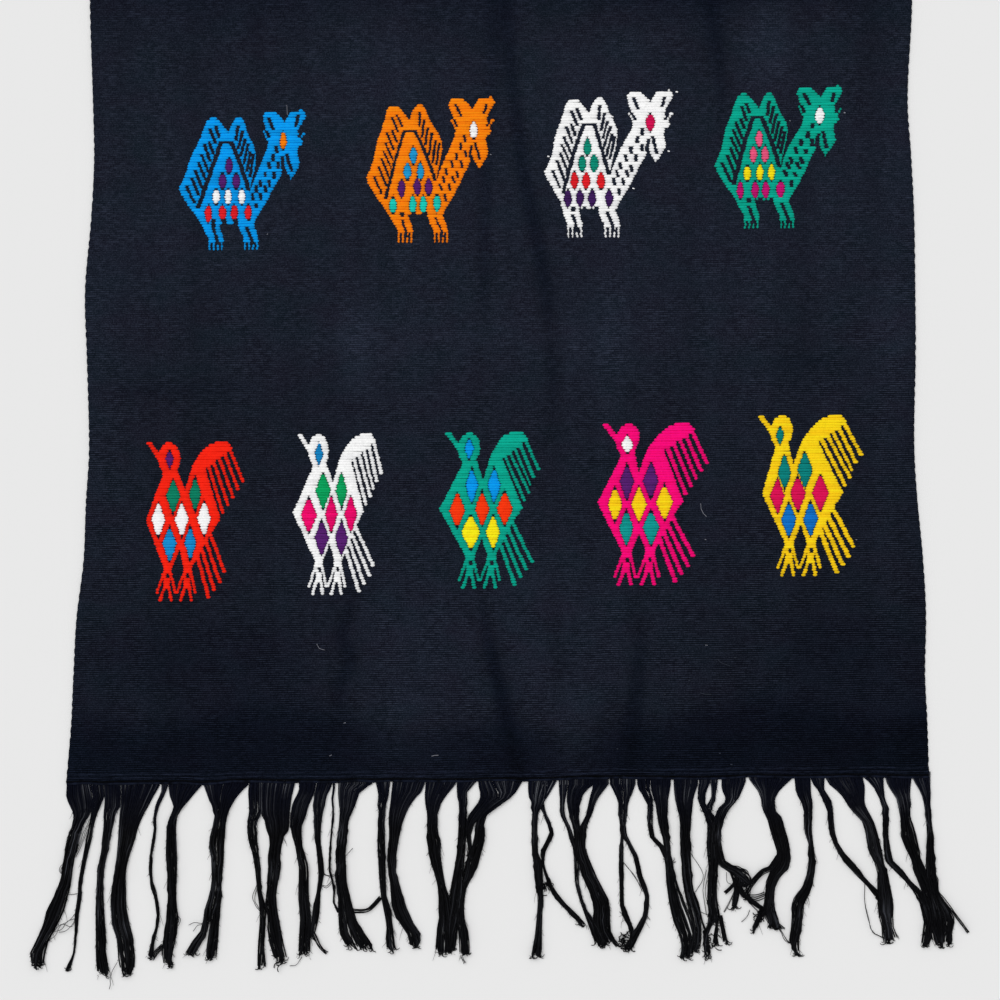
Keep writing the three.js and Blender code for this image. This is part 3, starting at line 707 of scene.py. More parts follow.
def bird_chart(openness):
    """The outlines that are laid in, and the slits left open, of a bird."""
    feather = 0.039 - 0.02 * (openness - 1)
    laid = [
        bar((0.03, 0.0), (0.16, 0.12), 0.06),
        oval(0.236, 0.105, 0.115, 0.104),
        [
            (0.17, 0.16), (0.31, 0.16), (0.394, 0.3), (0.46, 0.156), (0.533, 0.08), (0.618, 0.027),
            (0.715, 0.0), (0.82, 0.003), (0.87, 0.045), (0.6, 0.17), (0.75, 0.483), (0.667, 0.567),
            (0.46, 0.79), (0.38, 0.79), (0.34, 0.68), (0.26, 0.79), (0.176, 0.79), (0.0, 0.487),
            (0.164, 0.217),
        ],
    ]
    for i in range(5):
        step = i / 4
        root = (0.62 + 0.215 * step, 0.14 - 0.1 * step)
        laid.append(bar(root, (0.775 + 0.2 * step, 0.449 - 0.195 * step), feather))
    for i in range(4):
        step = i / 3
        root = (0.5 + 0.13 * step, 0.68 - 0.13 * step)
        laid.append(bar(root, (0.636 + 0.157 * step, 0.99 - 0.16 * step), feather + 0.004))
    for ankle in (0.218, 0.42):
        laid.append(bar((ankle, 0.78), (ankle, 0.86), 0.09))
        laid.append(bar((ankle - 0.025, 0.80), (ankle - 0.105, 0.945), 0.03))
        laid.append(bar((ankle + 0.025, 0.80), (ankle + 0.075, 0.945), 0.03))
        laid.append(bar((ankle, 0.84), (ankle - 0.012, 0.92), 0.07))
        laid.append(bar((ankle - 0.025, 0.90), (ankle - 0.075, 1.0), 0.036))
        laid.append(bar((ankle + 0.012, 0.90), (ankle + 0.038, 1.0), 0.036))
    slits = [bar((0.218, 0.82), (0.226, 0.86), 0.026), bar((0.418, 0.82), (0.424, 0.86), 0.026)]
    return laid, slits


def beast_chart(openness):
    """The outlines that are laid in, and the slits left open, of a beast."""
    laid = [
        [
            (0.0, 0.5525), (0.03, 0.5), (0.06, 0.43), (0.085, 0.35), (0.11, 0.298), (0.142, 0.25),
            (0.17, 0.195), (0.195, 0.13), (0.215, 0.085), (0.245, 0.062), (0.295, 0.062),
            (0.325, 0.085), (0.355, 0.12), (0.385, 0.158), (0.405, 0.115), (0.43, 0.068),
            (0.46, 0.052), (0.49, 0.062), (0.515, 0.1), (0.53, 0.15), (0.56, 0.215), (0.59, 0.27),
            (0.6, 0.32), (0.6, 0.375), (0.585, 0.44), (0.56, 0.53), (0.545, 0.585), (0.62, 0.7),
            (0.585, 0.81), (0.17, 0.81), (0.13, 0.75), (0.07, 0.675), (0.02, 0.6),
        ],
        [
            (0.545, 0.585), (0.58, 0.51), (0.62, 0.42), (0.66, 0.335), (0.682, 0.28),
            (0.692, 0.22), (0.8, 0.28), (0.806, 0.444), (0.76, 0.525), (0.72, 0.59), (0.66, 0.69),
            (0.62, 0.745), (0.585, 0.81), (0.5, 0.7),
        ],
        [
            (0.692, 0.25), (0.69, 0.2), (0.68, 0.155), (0.66, 0.1), (0.648, 0.05), (0.67, 0.022),
            (0.75, 0.02), (0.785, 0.05), (0.82, 0.088), (0.84, 0.055), (0.865, 0.012),
            (0.965, 0.008), (0.99, 0.045), (0.965, 0.085), (0.935, 0.13), (0.925, 0.16),
            (0.945, 0.2), (0.966, 0.245), (0.925, 0.275), (0.92, 0.31), (0.94, 0.385),
            (0.92, 0.43), (0.872, 0.497), (0.84, 0.45), (0.815, 0.4), (0.8, 0.34),
        ],
        bar((0.663, 0.15), (0.7, 0.23), 0.022),
        bar((0.975, 0.16), (0.93, 0.215), 0.03),
    ]
    laid.append([
        (0.165, 0.8), (0.2, 0.86), (0.228, 0.91), (0.228, 0.938), (0.348, 0.938), (0.345, 0.9),
        (0.33, 0.86), (0.31, 0.8),
    ])
    laid.append([
        (0.45, 0.8), (0.47, 0.86), (0.5, 0.905), (0.502, 0.938), (0.622, 0.938), (0.615, 0.9),
        (0.6, 0.86), (0.575, 0.8),
    ])
    for foot in (0.286, 0.561):
        for side in (-0.048, -0.016, 0.016, 0.048):
            laid.append(bar((foot + side, 0.93), (foot + side, 0.998), 0.015))
    slits = [[(0.32, 0.222), (0.414, 0.222), (0.414, 0.24), (0.32, 0.24)]]
    tent = [
        (0.15, 0.7), (0.262, 0.405), (0.329, 0.23), (0.405, 0.23), (0.473, 0.374), (0.545, 0.575),
    ]
    for i in (0, 1, 3, 4):
        slits.append(bar(tent[i], tent[i + 1], 0.03 * openness))
    left_wing = [
        (0.287, 0.12, 0.315, 0.205), (0.245, 0.135, 0.285, 0.245), (0.235, 0.225, 0.268, 0.31),
        (0.2, 0.25, 0.25, 0.375), (0.175, 0.31, 0.232, 0.44), (0.15, 0.365, 0.21, 0.5),
        (0.125, 0.42, 0.185, 0.56), (0.095, 0.475, 0.162, 0.62), (0.06, 0.54, 0.125, 0.67),
    ]
    right_wing = [
        (0.464, 0.11, 0.444, 0.215), (0.495, 0.15, 0.462, 0.275), (0.515, 0.205, 0.48, 0.335),
        (0.535, 0.25, 0.503, 0.395), (0.557, 0.29, 0.528, 0.45), (0.58, 0.32, 0.552, 0.475),
    ]
    head = [
        (0.695, 0.052, 0.733, 0.14), (0.676, 0.15, 0.703, 0.205), (0.925, 0.045, 0.903, 0.13),
        (0.957, 0.15, 0.93, 0.205), (0.835, 0.318, 0.878, 0.445), (0.808, 0.335, 0.8, 0.42),
    ]
    legs = [
        (0.262, 0.835, 0.295, 0.915), (0.295, 0.915, 0.302, 0.96), (0.52, 0.825, 0.562, 0.915),
        (0.562, 0.915, 0.577, 0.96),
    ]
    for u0, v0, u1, v1 in left_wing + right_wing + head + legs:
        slits.append(bar((u0, v0), (u1, v1), 0.021 * openness))
    neck = [
        (0.755, 0.285), (0.73, 0.345), (0.70, 0.405), (0.768, 0.40), (0.667, 0.462),
        (0.735, 0.465), (0.629, 0.525), (0.70, 0.53), (0.60, 0.57), (0.67, 0.57), (0.57, 0.62),
        (0.633, 0.625), (0.60, 0.685),
    ]
    for u, v in neck:
        slits.append(bar((u, v - 0.026), (u + 0.006, v + 0.026), 0.02 * openness))
    for u in (0.27, 0.355, 0.445):
        slits.append(bar((u, 0.785), (u, 0.83), 0.028))
    return laid, slits


CHARTS = {"bird": bird_chart, "beast": beast_chart}

# Half the width and height of a lozenge and of an eye, and the eyes that are taller than that.
LOZENGE = {"bird": (0.064, 0.106), "beast": (0.0265, 0.06)}
EYE = {"bird": (0.042, 0.056), "beast": (0.03, 0.06)}
TALLER_EYES = {"white_bird": 1.2, "green_bird": 1.22}


def crossings(outline, v):
    """Where a row of the chart goes into an outline and comes out of it."""
    found = []
    for (u0, v0), (u1, v1) in zip(outline, outline[1:] + outline[:1]):
        if (v0 <= v) != (v1 <= v):
            found.append(u0 + (u1 - u0) * (v - v0) / (v1 - v0))
    found.sort()
    return list(zip(found[::2], found[1::2]))


def joined_spans(spans):
    whole = []
    for start, end in sorted(spans):
        if whole and start <= whole[-1][1]:
            whole[-1][1] = max(whole[-1][1], end)
        else:
            whole.append([start, end])
    return whole


def without(spans, cuts):
    """Spans with others taken out of them."""
    for low, high in cuts:
        left = []
        for start, end in spans:
            if high <= start or low >= end:
                left.append([start, end])
                continue
            if start < low:
                left.append([start, low])
            if high < end:
                left.append([high, end])
        spans = left
    return spans


def spot_span(u, v, halves, pointed, row):
    """The part of a row that a lozenge, or else an oval, takes up, and none above or below it."""
    off = abs(row - v) / halves[1]
    if off >= 1:
        return None
    half = halves[0] * (1 - off if pointed else 1 - off**1.7)
    return [u - half, u + half]


def drifted(name, outline):
    return [(u + drift_at(name, u, v), v) for u, v in outline]


def figure_rows(name):
    """Every float of a figure: across from and to, up, and its dye."""
    figure = FIGURES[name]
    laid, slits = CHARTS[figure["kind"]](figure["open"])
    laid = [drifted(name, outline) for outline in laid]
    slits = [drifted(name, outline) for outline in slits]
    pointed = figure["kind"] == "bird"
    halves = LOZENGE[figure["kind"]]
    eye_dye, eye_u, eye_v, eye_wide = figure["eye"]
    eye_half, eye_high = EYE[figure["kind"]]
    spots = []
    for dye, centres in figure["rows"]:
        for u, v, *wide in centres:
            spots.append((dye, u, v, (halves[0] * (wide[0] if wide else 1), halves[1])))
    eye_high *= TALLER_EYES.get(name, 1.0)
    spots.append((eye_dye, eye_u, eye_v, (eye_half * eye_wide, eye_high)))
    count = round(figure["tall"] / FLOAT_PITCH)
    floats = []
    for k in range(count):
        v = (k + 0.5) / count
        up = figure["foot"] + figure["tall"] * (1 - v)
        body = joined_spans([s for outline in laid for s in crossings(outline, v)])
        body = without(body, [s for outline in slits for s in crossings(outline, v)])
        spans = []
        for dye, u, row, size in spots:
            open_size = (size[0] * OPEN_WIDE, size[1] * OPEN_TALL)
            open_span = spot_span(u, row, open_size, pointed, v)
            if open_span is None:
                continue
            body = without(body, [open_span])
            filled = spot_span(u, row, size, pointed, v)
            if filled is not None and filled[1] - filled[0] > SHORTEST_ROW:
                spans.append((open_span, dye))
        spans += [(span, figure["yarn"]) for span in body]
        for (start, end), dye in spans:
            stagger = 0.25 if k % 2 else 0.0
            a, b = [
                round((figure["left"] + u * figure["wide"]) / WARP_STEP - stagger) * WARP_STEP
                for u in (start, end)
            ]
            if b - a > 0.5 * WARP_STEP:
                floats.append((a + stagger * WARP_STEP, b + stagger * WARP_STEP, up, dye))
    return floats


def path_point(x, y, z, half, dye):
    """A point of a yarn's path, given in mm, with its half width and its dye."""
    return (x * MM, y * MM, z * MM), half * MM, dye


def float_path(start, end, up, dye, chance):
    """One float's points: it comes up out of the cloth, lies on its face and goes down."""
    rise = min(0.7, (end - start) * 0.35)
    inner = max(1, round((end - start - 2 * rise) / TIE_STEP))
    middles = [start + rise + (end - start - 2 * rise) * k / inner for k in range(inner + 1)]
    lean = chance.uniform(-0.16, 0.16)
    wander = chance.uniform(-0.07, 0.07)
    places = [(start + 0.06, FLOAT_SUNK, 0.55)]
    for x in middles:
        places.append((x, FLOAT_LIFT + chance.uniform(-0.06, 0.06), chance.uniform(0.86, 1.1)))
    places.append((end - 0.06, FLOAT_SUNK, 0.55))
    tone = 1.15 - 0.22 * chance.random() ** 2
    tone *= 0.7 + 0.3 * min(1.0, (end - start) / FULL_LENGTH)
    colour = [min(1.0, c * tone) for c in linear(dye)[:3]]
    path = []
    for x, lift, share in places:
        y_off = wander + lean * (x - start) / (end - start)
        y = hem_y(x, up / CLOTH_LENGTH) + y_off
        z = face_height(x, up) + lift
        path.append(path_point(x, y, z, FLOAT_HALF * share, colour))
    return path


def path_mesh(name, paths):
    """Chains of edges for yarns to follow, with a half width and a dye at each point."""
    points = [point for path in paths for point, _, _ in path]
    edges = []
    first = 0
    for path in paths:
        edges += [(first + i, first + i + 1) for i in range(len(path) - 1)]
        first += len(path)
    mesh = bpy.data.meshes.new(name)
    mesh.from_pydata(points, edges, [])
    thick = mesh.attributes.new("half_width", "FLOAT", "POINT")
    thick.data.foreach_set("value", [half for path in paths for _, half, _ in path])
    dye = mesh.attributes.new("dye", "FLOAT_COLOR", "POINT")
    colours = [c for path in paths for _, _, colour in path for c in (*colour[:3], 1.0)]
    dye.data.foreach_set("color", colours)
    return mesh


def yarn_tree():
    """Geometry Nodes that lay a yarn along every chain of edges."""
    tree = bpy.data.node_groups.new("laid_yarns", "GeometryNodeTree")
    add = tree.interface.new_socket
    add("Paths", in_out="INPUT", socket_type="NodeSocketGeometry")
    sides = add("Sides of a yarn", in_out="INPUT", socket_type="NodeSocketInt")
    flatness = add("Height over width", in_out="INPUT", socket_type="NodeSocketFloat")
    cotton = add("Cotton", in_out="INPUT", socket_type="NodeSocketMaterial")
    add("Yarns", in_out="OUTPUT", socket_type="NodeSocketGeometry")
    nodes = tree.nodes
    link = tree.links.new
    given = nodes.new("NodeGroupInput")
    made = nodes.new("NodeGroupOutput")
    curves = nodes.new("GeometryNodeMeshToCurve")
    half = nodes.new("GeometryNodeInputNamedAttribute")
    half.inputs["Name"].default_value = "half_width"
    radius = nodes.new("GeometryNodeSetCurveRadius")
    level = nodes.new("GeometryNodeSetCurveNormal")
    level.mode = "Z_UP"
    circle = nodes.new("GeometryNodeCurvePrimitiveCircle")
    squeeze = nodes.new("ShaderNodeCombineXYZ")
    squeeze.inputs["X"].default_value = 1.0
    squeeze.inputs["Z"].default_value = 1.0
    profile = nodes.new("GeometryNodeTransform")
    tubes = nodes.new("GeometryNodeCurveToMesh")
    tubes.inputs["Fill Caps"].default_value = True
    smooth = nodes.new("GeometryNodeSetShadeSmooth")
    realize = nodes.new("GeometryNodeRealizeInstances")
    dyed = nodes.new("GeometryNodeSetMaterial")
    link(given.outputs["Paths"], curves.inputs["Mesh"])
    link(curves.outputs["Curve"], radius.inputs["Curve"])
    link(half.outputs["Attribute"], radius.inputs["Radius"])
    link(half.outputs["Attribute"], tubes.inputs["Scale"])
    link(radius.outputs["Curve"], level.inputs["Curve"])
    link(level.outputs["Curve"], tubes.inputs["Curve"])
    link(given.outputs["Sides of a yarn"], circle.inputs["Resolution"])
    link(given.outputs["Height over width"], squeeze.inputs["Y"])
    link(circle.outputs["Curve"], profile.inputs["Geometry"])
    link(squeeze.outputs["Vector"], profile.inputs["Scale"])
    link(profile.outputs["Geometry"], tubes.inputs["Profile Curve"])
    link(tubes.outputs["Mesh"], smooth.inputs["Geometry"])
    link(smooth.outputs["Geometry"], realize.inputs["Geometry"])
    link(realize.outputs["Geometry"], dyed.inputs["Geometry"])
    link(given.outputs["Cotton"], dyed.inputs["Material"])
    link(dyed.outputs["Geometry"], made.inputs["Yarns"])
    return tree, sides.identifier, flatness.identifier, cotton.identifier


YARNS, YARN_SIDES, YARN_FLATNESS, YARN_COTTON = yarn_tree()
PLY_RELIEF = 0.00012


def yarn_piece(name, paths, material, sides=3, flatness=1.0):
    """The yarns along the paths, as one plain mesh that goes with the runner."""
    base = bpy.data.objects.new(name + "_paths", path_mesh(name + "_paths", paths))
    scene.collection.objects.link(base)
    modifier = base.modifiers.new("yarns", "NODES")
    modifier.node_group = YARNS
    modifier[YARN_SIDES] = sides
    modifier[YARN_FLATNESS] = flatness
    modifier[YARN_COTTON] = material
    graph = bpy.context.evaluated_depsgraph_get()
    mesh = bpy.data.meshes.new_from_object(base.evaluated_get(graph), depsgraph=graph)
    mesh.name = name
    bpy.data.objects.remove(base)
    return add_piece(name, mesh)


def inlay_material():
    finish = Finish("inlay_cotton_yarn", 0.9, 0.04)
    place = finish.place()
    dye = finish.node("ShaderNodeAttribute", attribute_name="dye").outputs["Color"]
    fibres = finish.cloud(finish.stretched(place, (450.0, 3200.0, 1500.0)), 1.0, 2.0)
    plies = finish.cloud(finish.stretched(place, (1300.0, 900.0, 900.0)), 1.0, 1.0)
    between_fibres = finish.spread(fibres, 0.3, 0.7, 0.06, 0.0)
    between_plies = finish.spread(plies, 0.3, 0.6, 0.09, 0.0)
    shade = finish.maths("ADD", between_fibres, between_plies)
    colour = finish.blend(shade, dye, (0.0, 0.0, 0.0, 1.0))
    finish.put(finish.shader.inputs["Base Color"], colour)
    finish.raise_by(finish.maths("ADD", fibres, plies), 0.6, PLY_RELIEF)
    return finish.material


inlay_cotton = inlay_material()
for number, name in enumerate(FIGURES):
    chance = random.Random(40 + number)
    paths = [float_path(*one, chance) for one in figure_rows(name)]
    inlay = yarn_piece(name + "_inlay", paths, inlay_cotton, sides=6, flatness=FLOAT_FLATNESS)
    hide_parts(name)

# Last wefts, lint and loose ends
# The inlaid end was left unhemmed: its last wefts lie as thicker, wavy cords of uneven dye, and
# the outermost of them closes the edge. Beside it lies a black cord, painted shadow standing for
# the shaded gap behind the outermost weft. Bits of pale lint, dust and cut ends of the inlaid yarn
# cling to the face.

WEFT_NAVY = (15, 19, 31)
WEFT_SHADE = (5, 6, 10)
WEFT_RIDGE = (25, 30, 44)
WEFT_STEPS = 410  # short steps along each weft

# Each weft: its place up the cloth, half width, height and dye.
HEM_WEFTS = [
    (0.8, 0.58, 0.95, WEFT_NAVY),
    # a black cord of painted shadow, in the shaded gap behind the outermost weft
    (1.85, 0.34, 1.25, WEFT_SHADE),
    (3.3, 0.2, 1.16, WEFT_RIDGE),
    (5.1, 0.18, 1.16, WEFT_RIDGE),
]
LINT = (128, 130, 140)
DUST = (48, 53, 64)

# Fibres on the face: colour, half width, and the places that they pass, across and up.
FIBRES = [
    (LINT, 0.14, [(96.1, 131.6), (96.3, 129.0), (97.4, 126.8), (98.9, 125.3)]),
    (LINT, 0.12, [(-101.0, 322.4), (-100.6, 322.0), (-100.4, 317.6)]),
    (LINT, 0.16, [(-31.8, 12.5), (-30.4, 12.9), (-28.6, 12.9)]),
    (LINT, 0.12, [(-86.4, 66.4), (-85.2, 64.2), (-82.6, 63.4)]),
    (LINT, 0.16, [(-73.6, 28.6), (-72.6, 28.8)]),
    (LINT, 0.14, [(-80.4, 13.0), (-79.2, 13.6)]),
    (LINT, 0.2, [(98.0, 114.5), (98.7, 114.3)]),
    (LINT, 0.2, [(169.7, 113.8), (170.5, 113.7)]),
    (LINT, 0.2, [(138.2, 313.5), (138.9, 313.3)]),
    (LINT, 0.18, [(-110.2, 261.0), (-109.6, 261.2)]),
    (LINT, 0.34, [(164.1, 317.2), (164.9, 316.9)]),
    (DUST, 0.26, [(59.2, 2.4), (60.0, 2.2)]),
    (DUST, 0.3, [(110.2, 7.3), (111.2, 7.2)]),
    (DUST, 0.28, [(104.8, 12.7), (105.6, 12.6)]),
    (DUST, 0.26, [(56.2, 15.3), (56.9, 15.1)]),
    (LINT, 0.14, [(98.2, 64.2), (99.4, 64.1)]),
    (DUST, 0.16, [(104.2, 57.4), (105.6, 55.9), (107.8, 54.9), (110.0, 54.2)]),
    (DUST, 0.2, [(95.8, 41.5), (98.2, 40.8), (101.2, 40.7)]),
    (DUST, 0.28, [(78.6, 41.0), (79.5, 40.9)]),
    (DUST, 0.24, [(90.2, 47.6), (91.1, 47.4)]),
    (DUST, 0.22, [(111.9, 58.2), (112.8, 58.0)]),
    (LINT, 0.24, [(-4.0, 298.4), (-3.4, 298.2)]),
    (WHITE, 0.38, [(84.2, 327.6), (85.3, 327.4)]),
    (WHITE, 0.32, [(53.2, 316.0), (54.6, 315.8)]),
    (WHITE, 0.32, [(80.4, 299.4), (81.4, 299.2)]),
    (WHITE, 0.3, [(63.6, 281.8), (64.6, 281.6)]),
    (WHITE, 0.32, [(23.2, 297.3), (24.2, 297.1)]),
]


def hem_weft_paths():
    paths = []
    for up, half, z, dye in HEM_WEFTS:
        left = along(SELVEDGE_UP, SELVEDGE_LEFT, up) + 0.4
        right = along(SELVEDGE_UP, SELVEDGE_RIGHT, up) - 0.4
        path = []
        for i in range(WEFT_STEPS + 1):
            across = left + (right - left) * i / WEFT_STEPS
            wave = 0.45 * uneven(across / 12, up * 0.4, 4.9)
            thick = half * (1 + 0.24 * uneven(across / 6, up * 3.1, 7.7))
            tone = 1.1 + 0.7 * uneven(across / 9, up * 2.3, 3.3)
            tone += 1.1 * uneven(across / 1.9, up * 5.1, 6.6)
            y = wavy_y(across, up) + wave
            lift = relief(across, up) + 0.12 * uneven(across / 8, up, 9.4)
            shade = [c * tone for c in linear(dye)[:3]]
            path.append(path_point(across, y, z + lift, thick, shade))
        paths.append(path)
    return paths


def fibre_path(colour, half, places):
    path = []
    for across, up in places:
        y = hem_y(across, up / CLOTH_LENGTH)
        z = face_height(across, up) + 0.35
        path.append(path_point(across, y, z, half, linear(colour)[:3]))
    return path


hem_wefts = yarn_piece("last_wefts", hem_weft_paths(), inlay_cotton, sides=6, flatness=0.9)
fibre_paths = [fibre_path(*one) for one in FIBRES]
lint = yarn_piece("lint", fibre_paths, inlay_cotton, sides=5, flatness=0.7)

# Near fringe
# The warps run out of the inlaid end's hem unknotted. Use has drawn them into locks of some four
# to fifty yarns, which fan out of the hem, gather, part again and fray at blunt tips.

READING = 0.06679  # mm in one step of the readings below
READING_TOP = -694.76
PANELS = {"A": -227.8, "B": -142.1, "C": -56.4, "D": 29.3, "E": 124.5}
